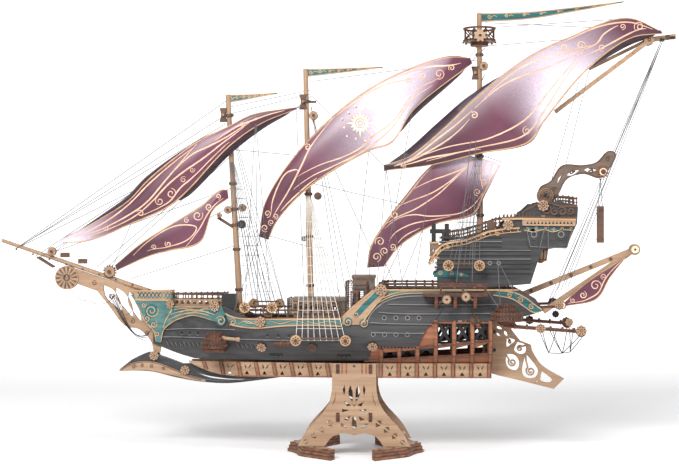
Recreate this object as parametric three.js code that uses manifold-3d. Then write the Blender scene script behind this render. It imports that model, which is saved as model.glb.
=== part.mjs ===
// A wooden jigsaw ship on its stand: flat laser-cut plates, bent skins, turned rods and taut threads.
// Frame: +X towards the stern, -Y is the port side, +Z up, origin under the middle of the whole object.
import * as THREE from "three";
import { mergeVertices } from "three/addons/utils/BufferGeometryUtils.js";
import Module from "manifold-3d";

const wasm = await Module();
wasm.setup();

// ---------- Driving dimensions, in millimetres ----------
// Stock
const PLY = 3; // structural sheet
const SKIN = 1.6; // bent hull skins
const TRIM = 1.2; // overlay panels
const CARD = 0.8; // sails and pennants
const THREAD_R = 0.4; // taut rigging thread
// Clearances
const GAP = 0.3; // between pieces that touch in use
const FIT = 0.15; // each side of a tab in its slot
const EDGE_CLEAR = 0.9; // from a flat frame or deck edge to a bent skin
const RUN = 0.1; // radial, round a turning pin
// Hull
const KEEL_HEIGHT = 72; // underside of the hull above the table
const HULL_BEAM = 90; // widest, over the skins
const STEM_X = -176; // where the two skins meet
const STERN_X = 188;
const MIDSHIP_X = 20; // widest station
const BAND_HALF_LENGTH = 141; // the tan gallery band runs this far each way
const BAND_HEIGHT = 13.5;
const WALE_HEIGHT = 40; // height of the widest line above the keel
const SHEER_HEIGHT = 82; // quarterdeck edge above the keel
const MAIN_DECK = 52; // deck tops above the keel
const FORE_DECK = 60;
const QUARTER_DECK = 79;
const WINDOW_PITCH = 16.6; // gallery posts
// Stand
const STAND_X = 15; // middle of the stand
const FOOT_LAYERS = 3;
const FOOT_REACH = 64; // tip of a foot from the middle of the stand
const FOOT_SPREAD = 56; // half depth of a foot
const TIE_HALF_PITCH = 15; // the two ties stand this far each side of the middle
const TAB = 8; // height of a tab
const TAB_PROUD = 0.8; // how far a tab stands out of its slot
// Turrets
const TURRET_AFT_R = 15;
const TURRET_FORE_R = 12.5;
const PIN_R = 1.5;
// Masts and rig
const MAST_R = 3;
const MAST_TOP_R = 2.3;
const NEST_R = 15.3;
const CHANNEL_Y = HULL_BEAM / 2 + 7; // the shrouds end this far out
// Castle and crane
const CASTLE_HALF_WIDTH = 33;
const DRUM_R = 7.8;
const SPROCKET_R = 5.6;
const WEIGHT_DROP = 25; // thread between the sprocket and the weight

// ---------- Hull form: half breadth at a station x and a height z above the keel ----------
const FLOOR_SHARE = 0.58; // breadth at the gallery band, against the widest
const BOW_FULLNESS = 2.2;
const STERN_TAPER = 0.18;
const TUMBLEHOME = 0.1;

function planShare(x) {
  if (x < MIDSHIP_X) {
    const forward = Math.min(1, (MIDSHIP_X - x) / (MIDSHIP_X - STEM_X));
    return 1 - forward ** BOW_FULLNESS;
  }
  return 1 - STERN_TAPER * ((x - MIDSHIP_X) / (STERN_X - MIDSHIP_X)) ** 2;
}

function sectionShare(z) {
  if (z < BAND_HEIGHT) return FLOOR_SHARE;
  if (z < WALE_HEIGHT) {
    const rise = (z - BAND_HEIGHT) / (WALE_HEIGHT - BAND_HEIGHT);
    return FLOOR_SHARE + (1 - FLOOR_SHARE) * Math.sin((rise * Math.PI) / 2);
  }
  const over = Math.min(1, (z - WALE_HEIGHT) / (SHEER_HEIGHT - WALE_HEIGHT));
  return 1 - TUMBLEHOME * over;
}

const halfBeam = (x, z) => (HULL_BEAM / 2) * planShare(x) * sectionShare(z);

// ---------- Solids ----------
function solidOf(geometry) {
  const loose = geometry.index ? geometry.toNonIndexed() : geometry.clone();
  const plain = new THREE.BufferGeometry().setAttribute("position", loose.getAttribute("position"));
  const merged = mergeVertices(plain, 1e-4);
  const vertProperties = merged.attributes.position.array;
  const kept = [];
  for (let i = 0; i < merged.index.count; i += 3) {
    const [a, b, c] = merged.index.array.subarray(i, i + 3);
    if (a !== b && b !== c && a !== c) kept.push(a, b, c);
  }
  const triVerts = new Uint32Array(kept);
  const solid = new wasm.Manifold(new wasm.Mesh({ numProp: 3, vertProperties, triVerts }));
  if (solid.volume() > 0) return solid;
  for (let i = 0; i < triVerts.length; i += 3) {
    [triVerts[i + 1], triVerts[i + 2]] = [triVerts[i + 2], triVerts[i + 1]];
  }
  return new wasm.Manifold(new wasm.Mesh({ numProp: 3, vertProperties, triVerts }));
}

const joined = (solids) => solids.reduce((whole, next) => whole.add(next));
const cutBy = (solid, tools) => tools.reduce((left, tool) => left.subtract(tool), solid);

// Corners only: a point on the straight line between its neighbours says nothing about the outline.
function corners(points) {
  return points.filter(([a, b], i) => {
    const [pa, pb] = points.at(i - 1);
    const [na, nb] = points[(i + 1) % points.length];
    return Math.abs((a - pa) * (nb - b) - (b - pb) * (na - a)) > 1e-6;
  });
}

function prism(points, depth, place) {
  const shape = new THREE.Shape(corners(points).map(([a, b]) => new THREE.Vector2(a, b)));
  const geometry = new THREE.ExtrudeGeometry(shape, { depth, bevelEnabled: false });
  return solidOf(geometry.applyMatrix4(place));
}

// A plate of the given thickness with its holes cut right through; place sets it into its plane.
function plate(points, holes, depth, place) {
  const through = place.clone().multiply(new THREE.Matrix4().makeTranslation(0, 0, -1));
  const tools = holes.map((hole) => prism(hole, depth + 2, through));
  return cutBy(prism(points, depth, place), tools);
}

// A plate whose outline is (x, z), from y0 to y1.
function plateXZ(points, y0, y1, holes = []) {
  const place = new THREE.Matrix4().set(1, 0, 0, 0, 0, 0, -1, y1, 0, 1, 0, 0, 0, 0, 0, 1);
  return plate(points, holes, y1 - y0, place);
}

// A plate whose outline is (x, y), from z0 to z1.
function plateXY(points, z0, z1, holes = []) {
  return plate(points, holes, z1 - z0, new THREE.Matrix4().makeTranslation(0, 0, z0));
}

// A plate whose outline is (y, z), from x0 to x1.
function plateYZ(points, x0, x1, holes = []) {
  const place = new THREE.Matrix4().set(0, 0, 1, x0, 1, 0, 0, 0, 0, 1, 0, 0, 0, 0, 0, 1);
  return plate(points, holes, x1 - x0, place);
}

function box([x0, x1], [y0, y1], [z0, z1]) {
  const middle = [(x0 + x1) / 2, (y0 + y1) / 2, (z0 + z1) / 2];
  return solidOf(new THREE.BoxGeometry(x1 - x0, y1 - y0, z1 - z0).translate(...middle));
}

// A rod from a to b, which may taper.
function rod(a, b, radius, endRadius = radius, sides = 8) {
  const from = new THREE.Vector3(...a);
  const along = new THREE.Vector3(...b).sub(from);
  const turn = new THREE.Quaternion().setFromUnitVectors(
    new THREE.Vector3(0, 1, 0),
    along.clone().normalize(),
  );
  const shape = new THREE.CylinderGeometry(endRadius, radius, along.length(), sides);
  return solidOf(shape.translate(0, along.length() / 2, 0).applyQuaternion(turn).translate(...a));
}

const thread = (a, b) => rod(a, b, THREAD_R, THREAD_R, 3);
const discY = (x, y, z, radius, thick, sides = 16) =>
  rod([x, y - thick / 2, z], [x, y + thick / 2, z], radius, radius, sides);

// A turned piece about a vertical axis; the profile is a closed ring of (radius, z).
function turned(profile, x, y, sides) {
  const ring = [...profile, profile[0]].map(([r, z]) => new THREE.Vector2(r, z));
  return solidOf(new THREE.LatheGeometry(ring, sides).rotateX(Math.PI / 2).translate(x, y, 0));
}

// A sheet between two faces, each a function of (u, v) from 0 to 1.
function sheet(front, back, nu, nv) {
  const positions = [];
  for (const face of [front, back]) {
    for (let i = 0; i <= nu; i++) {
      for (let j = 0; j <= nv; j++) positions.push(...face(i / nu, j / nv));
    }
  }
  const at = (layer, i, j) => layer * (nu + 1) * (nv + 1) + i * (nv + 1) + j;
  const faces = [];
  const quad = (a, b, c, d) => faces.push(a, b, c, a, c, d);
  for (let i = 0; i < nu; i++) {
    for (let j = 0; j < nv; j++) {
      quad(at(0, i, j), at(0, i + 1, j), at(0, i + 1, j + 1), at(0, i, j + 1));
      quad(at(1, i, j), at(1, i, j + 1), at(1, i + 1, j + 1), at(1, i + 1, j));
    }
    quad(at(0, i, 0), at(1, i, 0), at(1, i + 1, 0), at(0, i + 1, 0));
    quad(at(0, i, nv), at(0, i + 1, nv), at(1, i + 1, nv), at(1, i, nv));
  }
  for (let j = 0; j < nv; j++) {
    quad(at(0, 0, j), at(0, 0, j + 1), at(1, 0, j + 1), at(1, 0, j));
    quad(at(0, nu, j), at(1, nu, j), at(1, nu, j + 1), at(0, nu, j + 1));
  }
  const geometry = new THREE.BufferGeometry();
  geometry.setAttribute("position", new THREE.Float32BufferAttribute(positions, 3));
  geometry.setIndex(faces);
  return solidOf(geometry);
}

const lerp = (a, b, t) => a + (b - a) * t;
const span = (side, a, b) => (side < 0 ? [-b, -a] : [a, b]);
const circle = (x, z, r, n = 12) =>
  Array.from({ length: n }, (_, i) => {
    const turn = (2 * Math.PI * i) / n;
    return [x + r * Math.cos(turn), z + r * Math.sin(turn)];
  });
const smooth = (points, n) =>
  new THREE.SplineCurve(points.map(([a, b]) => new THREE.Vector2(a, b)))
    .getPoints(n)
    .map((p) => [p.x, p.y]);
const rectangle = (x, z, w, h) => [
  [x - w / 2, z - h / 2],
  [x + w / 2, z - h / 2],
  [x + w / 2, z + h / 2],
  [x - w / 2, z + h / 2],
];

// A bent skin on one side of the hull: it follows reach(x, z) and is cut to an outline.
const STATION_PITCH = 20;
const skinLevels = [-2, BAND_HEIGHT, 20, 27, 33.5, WALE_HEIGHT, SHEER_HEIGHT + 2];
function bentSkin(side, outline, holes, reach, thick) {
  const first = Math.floor(Math.min(...outline.map(([x]) => x)) / STATION_PITCH);
  const last = Math.ceil(Math.max(...outline.map(([x]) => x)) / STATION_PITCH);
  const top = Math.max(...outline.map(([, z]) => z));
  const rows = skinLevels.findIndex((z) => z > top);
  const face = (inset) => (u, v) => {
    const x = STATION_PITCH * Math.round(lerp(first, last, u));
    const z = skinLevels[Math.round(v * rows)];
    return [x, side * (reach(x, z) - inset), z];
  };
  const cutter = plateXZ(outline, ...span(side, PLY / 2 + GAP, HULL_BEAM), holes);
  return sheet(face(0), face(thick), last - first, rows).intersect(cutter);
}

const SIDES = [["port", -1], ["starboard", 1]];

// ---------- The scene graph ----------
const model = new THREE.Group();
const stand = new THREE.Group();
const ship = new THREE.Group();
ship.position.z = KEEL_HEIGHT;
model.add(stand, ship);

const wood = { color: 0xcda873, roughness: 0.7, metalness: 0 };
const dark = { color: 0x24252a, roughness: 0.55, metalness: 0 };
const purple = { color: 0x5d2f49, roughness: 0.4, metalness: 0.1 };
const brown = { color: 0xa8643a, roughness: 0.7, metalness: 0 };
const teal = { color: 0x12686c, roughness: 0.5, metalness: 0 };
const cord = { color: 0x3a3a3c, roughness: 0.9, metalness: 0 };

function add(group, name, solid, look) {
  const { numProp, vertProperties, triVerts } = solid.getMesh();
  if (numProp !== 3) throw new Error(name + " carries more than positions");
  const geometry = new THREE.BufferGeometry();
  geometry.setAttribute("position", new THREE.BufferAttribute(vertProperties, 3));
  geometry.setIndex(new THREE.BufferAttribute(triVerts, 1));
  const mesh = new THREE.Mesh(geometry, new THREE.MeshStandardMaterial(look));
  mesh.name = name;
  group.add(mesh);
}

// ---------- Stand ----------
const footTop = FOOT_LAYERS * PLY;
const standInner = halfBeam(STAND_X, 0) + GAP; // the plates stand just outside the gallery band
const tieXs = [STAND_X - TIE_HALF_PITCH, STAND_X + TIE_HALF_PITCH];
const lowTabZ = KEEL_HEIGHT / 2;
// The high tabs run through the gallery band into the hull's own frames.
const highTabZ = KEEL_HEIGHT + (PLY + GAP + BAND_HEIGHT) / 2;

function standPlate(side) {
  const top = KEEL_HEIGHT + BAND_HEIGHT;
  const neck = [[52, 9], [46, 20], [40, 28], [29, 40], [23, 50], [20.5, 61], [20, top]];
  const right = smooth(neck.slice(0, -1).map(([x, z]) => [x, lerp(footTop, KEEL_HEIGHT, (z - 9) / 63)]), 10);
  right[0][1] = footTop + GAP;
  right.push([neck.at(-1)[0], top]);
  const archTop = footTop + 12;
  const arch = smooth([[27, footTop + GAP], [20, archTop - 3], [10, archTop], [0, archTop - 1.5]], 8);
  const half = [...arch.slice(0, -1).reverse(), ...right];
  const outline = [
    ...half.map(([x, z]) => [STAND_X + x, z]),
    ...half.reverse().map(([x, z]) => [STAND_X - x, z]),
  ];
  outline.push([STAND_X, arch.at(-1)[1]]);
  const holes = [];
  for (const s of [-1, 1]) {
    const leaf = [[2, 45], [6, 51], [2.5, 62]];
    const small = [
      [[8, 44], [11, 38], [6.5, 35]],
      [[9, 29], [19, 27], [14, 24.5]],
      [[25, 28], [33, 24], [27, 18]],
    ];
    for (const cut of [leaf, ...small]) {
      holes.push(cut.map(([x, z]) => [STAND_X + s * x, (z * KEEL_HEIGHT) / 72]));
    }
    holes.push(rectangle(STAND_X + s * TIE_HALF_PITCH, lowTabZ, PLY + 2 * FIT, TAB + 2 * FIT));
    holes.push(rectangle(STAND_X + s * TIE_HALF_PITCH, highTabZ, PLY + 2 * FIT, TAB + 2 * FIT));
  }
  return plateXZ(outline, ...span(side, standInner, standInner + PLY), holes);
}

function standTie(x) {
  const wall = standInner - GAP;
  const tip = standInner + PLY + TAB_PROUD;
  const [low, high] = [lowTabZ - TAB, KEEL_HEIGHT - GAP];
  const body = [[-wall, low], [0, low - TAB / 2], [wall, low], [wall, high], [-wall, high]];
  const web = plateYZ(body, x - PLY / 2, x + PLY / 2, [circle(0, (low + high) / 2, 9)]);
  const tabs = box([x - PLY / 2, x + PLY / 2], [-tip, tip], [lowTabZ - TAB / 2, lowTabZ + TAB / 2]);
  return web.add(tabs.subtract(box([x - PLY, x + PLY], [-wall, wall], [0, KEEL_HEIGHT])));
}

// Three glued layers in an arrow plan, each a little smaller than the one under it.
function standFoot(end) {
  const layers = [];
  for (let layer = 0; layer < FOOT_LAYERS; layer++) {
    const inset = layer * 1.2;
    const tip = FOOT_REACH - inset;
    const spread = FOOT_SPREAD - inset;
    const arm = smooth([[tip, 0], [tip - 9, 14], [tip - 14, 30], [tip - 30, 44], [20, spread]], 10);
    const back = smooth([[17, spread - 8], [28, 30], [34, 16], [36 + inset, 0]], 6);
    const half = [...arm, ...back];
    const plan = [
      ...half.map(([x, y]) => [STAND_X + end * x, y]),
      ...half.slice(1, -1).reverse().map(([x, y]) => [STAND_X + end * x, -y]),
    ];
    layers.push(plateXY(plan, layer * PLY, (layer + 1) * PLY));
  }
  return joined(layers);
}

for (const [word, side] of SIDES) add(stand, `stand_plate_${word}`, standPlate(side), wood);
add(stand, "stand_tie_fore", standTie(tieXs[0]), wood);
add(stand, "stand_tie_aft", standTie(tieXs[1]), wood);
add(stand, "stand_foot_fore", standFoot(-1), wood);
add(stand, "stand_foot_aft", standFoot(1), wood);

// ---------- Hull core ----------
const BAND_RISE_X = -95; // forward of this the band's lower edge sweeps up
const bandBottom = (x) => (x < BAND_RISE_X ? BAND_HEIGHT * ((BAND_RISE_X - x) / 48) ** 2 : 0);
const bandInner = (x) => halfBeam(x, 0) - SKIN - EDGE_CLEAR;
const frameXs = [...tieXs, 72, BAND_HALF_LENGTH - 2];
const frameNames = ["frame_stand_fore", "frame_stand_aft", "frame_gallery", "frame_stern"];
const spineTop = MAIN_DECK - PLY - GAP;

function keelPlate() {
  const xs = [BAND_RISE_X, -60, -30, 0, 30, 70, 110, BAND_HALF_LENGTH];
  const half = xs.map((x) => [x, bandInner(x)]);
  const outline = [...half.map(([x, y]) => [x, -y]), ...half.reverse()];
  const slots = [-75, -45, 50, 85, 120].map((x) => rectangle(x, 0, 18, 10));
  return plateXY(outline, 0, PLY, slots);
}

function keelSpine() {
  const low = PLY + GAP;
  const outline = [
    [-140, low + 14],
    [-110, low + 4],
    [-90, low],
    [BAND_HALF_LENGTH, low],
    [BAND_HALF_LENGTH, spineTop],
    [-150, spineTop],
  ];
  const windows = [-95, -45, 50].map((x) => circle(x, 28, 9, 10));
  for (const x of [91, 121]) windows.push(rectangle(x, 31, 26, 28)); // behind the open gallery
  const spine = plateXZ(outline, -PLY / 2, PLY / 2, windows);
  const slots = frameXs.map((x) =>
    box([x - PLY / 2 - FIT, x + PLY / 2 + FIT], [-PLY, PLY], [MAIN_DECK / 2, MAIN_DECK]),
  );
  return cutBy(spine, slots);
}

// A cross frame, half-lapped over the spine; the stand frames carry tabs out through the band and the stand.
function hullFrame(x, topZ, withTabs) {
  const levels = [PLY + GAP, BAND_HEIGHT, 18, 24, 31, WALE_HEIGHT, topZ];
  const side = levels.map((z) => [halfBeam(x, z) - SKIN - TRIM - GAP - EDGE_CLEAR, z]);
  const outline = [...side, ...side.map(([y, z]) => [-y, z]).reverse()];
  const windows = [-1, 1].map((s) => circle(s * 12, 26, 6, 10));
  let frame = plateYZ(outline, x - PLY / 2, x + PLY / 2, windows);
  if (withTabs) {
    const z = highTabZ - KEEL_HEIGHT;
    const tip = standInner + PLY + TAB_PROUD;
    frame = frame.add(box([x - PLY / 2, x + PLY / 2], [-tip, tip], [z - TAB / 2, z + TAB / 2]));
  }
  const lap = box([x - PLY, x + PLY], [-PLY / 2 - FIT, PLY / 2 + FIT], [0, MAIN_DECK / 2 + FIT]);
  return frame.subtract(lap);
}

add(ship, "keel_plate", keelPlate(), wood);
add(ship, "keel_spine", keelSpine(), wood);
frameXs.forEach((x, i) => add(ship, frameNames[i], hullFrame(x, spineTop, tieXs.includes(x)), wood));

// ---------- Hull skins ----------
const tabHoles = tieXs.map((x) => rectangle(x, highTabZ - KEEL_HEIGHT, PLY + 2 * FIT, TAB + 2 * FIT));

function galleryBand(side) {
  const sweep = [-BAND_HALF_LENGTH, -132, -122, -110, BAND_RISE_X].map((x) => [x, bandBottom(x)]);
  const outline = [
    ...sweep,
    [BAND_HALF_LENGTH, 0],
    [BAND_HALF_LENGTH, BAND_HEIGHT],
    [-BAND_HALF_LENGTH, BAND_HEIGHT],
  ];
  const cuts = [];
  for (let x = -114; x < BAND_HALF_LENGTH - 8; x += WINDOW_PITCH) {
    if (tieXs.every((tie) => Math.abs(tie - x) > 8)) cuts.push([[x - 3, 4], [x + 3, 4], [x, 10]]);
  }
  return bentSkin(side, outline, [...tabHoles, ...cuts], (x) => halfBeam(x, 0), SKIN);
}

function hullSide(side) {
  const outline = [
    ...smooth([[STEM_X, 29], [-165, 25], [-150, 20], [-135, 16]], 6),
    [22, 16],
    [29, 19],
    [32, 30],
    [73, 30],
    ...smooth([[77, 38], [82, 47], [90, 53], [BAND_HALF_LENGTH, 53.5]], 6),
    ...smooth([[150, 55], [172, 58], [STERN_X, 63]], 4),
    [180, 74],
    [166, SHEER_HEIGHT],
    [40, SHEER_HEIGHT],
    [22, 70],
    [6, 56],
    [-82, 55],
    [-104, 65],
    [-157, 64.5],
    [-161, 71],
    [STEM_X, 71],
  ];
  return bentSkin(side, outline, [], halfBeam, SKIN);
}

// The open gallery aft: two rails and a row of posts, with windows between them.
function galleryWindows(side) {
  const top = 53.2;
  const rail = (x) => lerp(17, 24.5, (x - 22) / 120);
  const upper = (x) => lerp(29, 37, (x - 60) / 80);
  const aft = BAND_HALF_LENGTH;
  const sill = BAND_HEIGHT + GAP;
  const outline = [[25, sill], [aft, sill], [aft, top], [84, top], [74, 31], [33, 30]];
  const holes = [];
  for (let x = aft - 2 - WINDOW_PITCH; x > 26; x -= WINDOW_PITCH) {
    const [a, b] = [x + 1.4, x + WINDOW_PITCH - 1.4];
    const head = Math.min(28, upper(a) - 3.2);
    if (a > 30) holes.push([[a, rail(a)], [b, rail(b)], [b, upper(b) - 3.2], [a, head]]);
    if (a > 84) holes.push([[a, upper(a)], [b, upper(b)], [b, top - 2], [a, top - 2]]);
  }
  const reach = (x, z) => halfBeam(x, z) - SKIN - GAP;
  return bentSkin(side, outline, holes, reach, TRIM);
}

// The bow panel and the trim band that sweeps aft from it, laid over the skin.
function bowTrim(side) {
  const outline = [
    [-197, 75],
    [-157, 75.3],
    [-155, 65],
    [-108, 65.5],
    [-104, 58],
    [-110, 51],
    ...smooth([[-118, 52], [-135, 56], [-152, 53], [-164, 44], [-168, 30]], 8),
    [-173, 31],
    ...smooth([[-176, 42], [-186, 52], [-190, 64], [-197, 75]], 6).slice(0, -1),
  ];
  const least = 4;
  const reach = (x, z) => Math.max(halfBeam(x, z), least) + TRIM + GAP;
  return bentSkin(side, outline, [], reach, TRIM);
}

for (const [word, side] of SIDES) {
  add(ship, `gallery_band_${word}`, galleryBand(side), wood);
  add(ship, `hull_side_${word}`, fore(side, hullSide(side)), dark);
  add(ship, `gallery_windows_${word}`, galleryWindows(side), brown);
  add(ship, `bow_trim_${word}`, bowTrim(side), teal);
}

// The shelf and pin that carry the fore turret are glued to the skin, so they are one piece with it.
function fore(side, skin) {
  const { x, y, z } = foreTurretSeat(side);
  const reach = TURRET_FORE_R * 0.8;
  const [y0, y1] = span(side, halfBeam(x, z) - SKIN, Math.abs(y) + reach);
  const shelf = box([x - reach, x + reach], [y0, y1], [z - PLY - GAP, z - GAP]);
  const inside = box([x - 20, x + 20], span(side, 0, halfBeam(x, z) - SKIN), [z - 9, z + 9]);
  const pin = rod([x, y, z - PLY], [x, y, z + 11], PIN_R, PIN_R, 12);
  return skin.add(shelf.subtract(inside)).add(pin);
}

function foreTurretSeat(side) {
  const [x, z] = [-113, 28];
  return { x, y: side * (halfBeam(x, WALE_HEIGHT) + TURRET_FORE_R + 1.5), z };
}

// ---------- Ram, stem and bowsprit ----------
function ram() {
  const outline = [
    [-208, 4.5],
    ...smooth([[-196, 14], [-182, 20.5], [-176, 19.8], [-160, 14.5], [-148, 10]], 8),
    ...[-138, -125, -110, BAND_RISE_X].map((x) => [x, bandBottom(x) - GAP]),
    [-51, -GAP],
    ...smooth([[-51, -1.4], [-75, -4.8], [-105, -8], [-132, -6.5], [-154, -2.8], [-180, 3], [-208, 3]], 12),
  ];
  return plateXZ(outline, -1.5 * PLY, 1.5 * PLY);
}

const spritTip = [-321.5, 0, 126.3];
const spritHeel = [-160, 0, 71.5];
const spritR = 2.6;
const spritZ = (x) => lerp(spritHeel[2], spritTip[2], (spritHeel[0] - x) / (spritHeel[0] - spritTip[0]));

function figurehead() {
  const under = (x) => spritZ(x) - spritR - 1.2;
  const outline = [
    [-170, under(-170)],
    [-228, under(-228)],
    [-250, under(-250)],
    [-262, 90],
    [-246, 84],
    ...smooth([[-230, 78.5], [-219, 65], [-204, 46], [-190, 42.4], [-179, 32], [-176, 22]], 8),
    [-170, 20],
    [-168, 31],
  ];
  const holes = [
    [[-212, 70], [-196, 51], [-190, 55], [-198, 71]],
    [[-186, 66], [-182, 48], [-176, 50], [-176, 66]],
  ];
  const head = plateXZ(outline, -PLY / 2, PLY / 2, holes);
  const rosette = discY(-258.9, 0, 91, 11.2, PLY * 1.6, 20);
  return head.add(rosette).subtract(discY(-258.9, 0, 91, 2, PLY * 2, 8));
}

add(ship, "ram", ram(), dark);
add(ship, "figurehead", figurehead(), wood);
add(ship, "bowsprit", rod(spritHeel, spritTip, spritR, 1.8), wood);

// ---------- Decks and houses ----------
function deck(z, xs, holes = []) {
  const half = xs.map((x) => [x, Math.max(3, halfBeam(x, z) - SKIN - EDGE_CLEAR)]);
  const outline = [...half.map(([x, y]) => [x, -y]), ...half.reverse()];
  return plateXY(outline, z - PLY, z, holes);
}

function house([x0, x1], halfWidth, [z0, z1], roofProud) {
  const walls = box([x0, x1], [-halfWidth, halfWidth], [z0, z1 - PLY]);
  const eave = halfWidth + roofProud;
  const roof = box([x0 - roofProud, x1 + roofProud], [-eave, eave], [z1 - PLY, z1]);
  const room = box([x0 + PLY, x1 - PLY], [-halfWidth + PLY, halfWidth - PLY], [z0 - 1, z1 - PLY]);
  const windows = [];
  for (let x = x0 + 8; x < x1 - 6; x += 10) {
    const heights = [lerp(z0, z1, 0.35), lerp(z0, z1, 0.65)];
    windows.push(box([x - 2, x + 2], [-halfWidth - 1, halfWidth + 1], heights));
  }
  return cutBy(walls.add(roof), [room, ...windows]);
}

const quarterStart = 35;
add(ship, "deck_fore", deck(FORE_DECK, [-160, -145, -130, -115, -103]), wood);
add(ship, "deck_main", deck(MAIN_DECK, [-100, -80, -60, -30, 0, quarterStart]), wood);
add(ship, "deck_quarter", deck(QUARTER_DECK, [quarterStart + 1, 60, 90, 120, 145, 165]), wood);
add(ship, "deckhouse", house([-42, 6], 17, [MAIN_DECK + GAP, 73], 1.2), brown);
add(ship, "quarter_house", house([13, 33], 15, [MAIN_DECK + GAP, 94], 1), brown);

// ---------- Stern ----------
const beamX = [147, 160]; // fore and aft faces of the outrigger beam
const beamTop = 54;
const turretAftY = halfBeam(153, 60) + TURRET_AFT_R + 1.5;

function sternFin() {
  const outline = [
    [BAND_HALF_LENGTH + GAP, 2.5],
    ...smooth([[150, 0], [166, -3.5], [186, -8.5], [200, -12]], 6),
    [209.6, -2.2],
    ...smooth([[209.6, -2.2], [190, 9.5], [181, 22], [179, 29]], 6).slice(1),
    [169, 33],
    [161, 43],
    [159, beamTop - PLY - GAP],
    [BAND_HALF_LENGTH + GAP, beamTop - PLY - GAP],
  ];
  const holes = [
    smooth([[163, 6], [172, 2], [180, 6], [174, 15], [163, 6]], 8).slice(1),
    smooth([[160, 24], [170, 22], [173, 28], [163, 36], [160, 24]], 8).slice(1),
    [[150, 45], [156, 45], [153, 37]],
    smooth([[186, 2], [193, -2], [199, -3], [190, 4], [186, 2]], 6).slice(1),
  ];
  return plateXZ(outline, -PLY / 2, PLY / 2, holes);
}

// A cross beam under the stern that carries both aft turrets' pins and both outrigger poles.
function outriggerFrame() {
  const reach = turretAftY + 8;
  const parts = [box(beamX, [-reach, reach], [beamTop - PLY, beamTop])];
  for (const [, side] of SIDES) {
    const y = side * turretAftY;
    parts.push(rod([153, y, beamTop - 1], [153, y, beamTop + 15], PIN_R, PIN_R, 12));
    const poleZ = beamTop - PLY - 1.5;
    parts.push(rod([150, side * (reach - 3), poleZ + 1], [219, side * (reach - 3), poleZ - 4], 1.8, 1.5));
    parts.push(discY(218.6, side * (reach - 3), poleZ - 4, 4.7, PLY, 14));
  }
  return joined(parts);
}

add(ship, "stern_fin", sternFin(), wood);
add(ship, "outrigger_frame", outriggerFrame(), brown);

// A balcony hung on the port side, with three brackets under it and a rail that the hoists hang from.
function winchPlatform() {
  const bracketFoot = QUARTER_DECK - PLY - 11;
  const inner = Math.max(...[78, 107, 136].map((x) => halfBeam(x, bracketFoot))) + GAP;
  const edge = inner + 14;
  const floor = [QUARTER_DECK - PLY, QUARTER_DECK];
  const rail = [QUARTER_DECK + 6, QUARTER_DECK + 9];
  const parts = [
    box([78, 136], [-edge, -inner], floor),
    box([92, 136], [-edge, -edge + PLY], rail),
  ];
  for (const x of [90, 107, 125]) {
    const web = [[-inner, bracketFoot], [-inner, floor[1]], [-edge, floor[1]], [-edge, bracketFoot + 8]];
    parts.push(plateYZ(web, x - 1.5, x + 1.5));
  }
  for (const x of [94, 114, 134]) {
    parts.push(box([x - 1, x + 1], [-edge, -edge + PLY], [floor[1] - 1, rail[0] + 1]));
  }
  return joined(parts);
}
add(ship, "winch_platform", winchPlatform(), brown);

// ---------- Turrets: discs stacked on a bush that turns on its pin ----------
function stack(seat, tiers) {
  const bore = (PIN_R + RUN) / Math.cos(Math.PI / 12);
  const outer = [];
  let z = seat.z;
  for (const [radius, thick] of tiers) {
    outer.push([radius, z], [radius, z + thick]);
    z += thick;
  }
  return turned([[bore, seat.z], ...outer, [bore, z]], seat.x, seat.y, 12);
}

for (const [word, side] of SIDES) {
  const seat = foreTurretSeat(side);
  const barrelZ = seat.z + 9;
  const barrel = rod([seat.x + 6, seat.y, barrelZ], [seat.x + 25, seat.y, barrelZ - 1.5], 1.7, 1.5);
  const r = TURRET_FORE_R;
  const body = stack(seat, [[r, 3.6], [r - 1, 3.4], [r - 3, 3.2], [7.6, 4.2]]);
  add(ship, `turret_fore_${word}`, body.add(barrel), brown);
}
for (const [word, side] of SIDES) {
  const seat = { x: 153, y: side * turretAftY, z: beamTop + GAP };
  const r = TURRET_AFT_R;
  const tiers = [[r, 4], [r, 4], [r * 0.67, 3.8], [r * 0.52, 3.6]];
  add(ship, `turret_aft_${word}`, stack(seat, tiers), brown);
}

// ---------- Stern castle ----------
const castleDeck = 140;

function castleSide(side) {
  const outline = [
    [92, QUARTER_DECK + GAP],
    [176, QUARTER_DECK + 8],
    [186, 118],
    [209, 121],
    [213, 131],
    [218, 142],
    [219, 157],
    [203, 162.5],
    [178, 161],
    [161, 145],
    [136, 131],
    [121, 127],
    [92, 120],
  ];
  const y = span(side, CASTLE_HALF_WIDTH - PLY, CASTLE_HALF_WIDTH);
  return plateXZ(outline, ...y, [rectangle(187, 147, 5, 5), rectangle(201, 147, 5, 5)]);
}

const castleInner = CASTLE_HALF_WIDTH - PLY - GAP;
for (const [word, side] of SIDES) add(ship, `castle_side_${word}`, castleSide(side), dark);
const castlePlan = [[160, -castleInner], [212, -castleInner], [212, castleInner], [160, castleInner]];
add(ship, "castle_deck", plateXY(castlePlan, castleDeck - PLY, castleDeck), dark);
const transomPlan = [
  [-castleInner, 122],
  [castleInner, 122],
  [castleInner, castleDeck - PLY - GAP],
  [-castleInner, castleDeck - PLY - GAP],
];
const transomWindows = [-15, 0, 15].map((y) => rectangle(y, 129, 7, 7));
add(ship, "castle_transom", plateYZ(transomPlan, 203, 203 + PLY, transomWindows), dark);

// ---------- Crane: arm and sprocket turn on pins, the weight hangs free ----------
const drum = [192.4, 0, 168.3];
const sprocket = [245.4, 0, 190.3];
const hangX = sprocket[0] - 2.6;
const hangZ = sprocket[2] - SPROCKET_R - 1.4;
const armHalf = PLY / 2;

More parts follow.
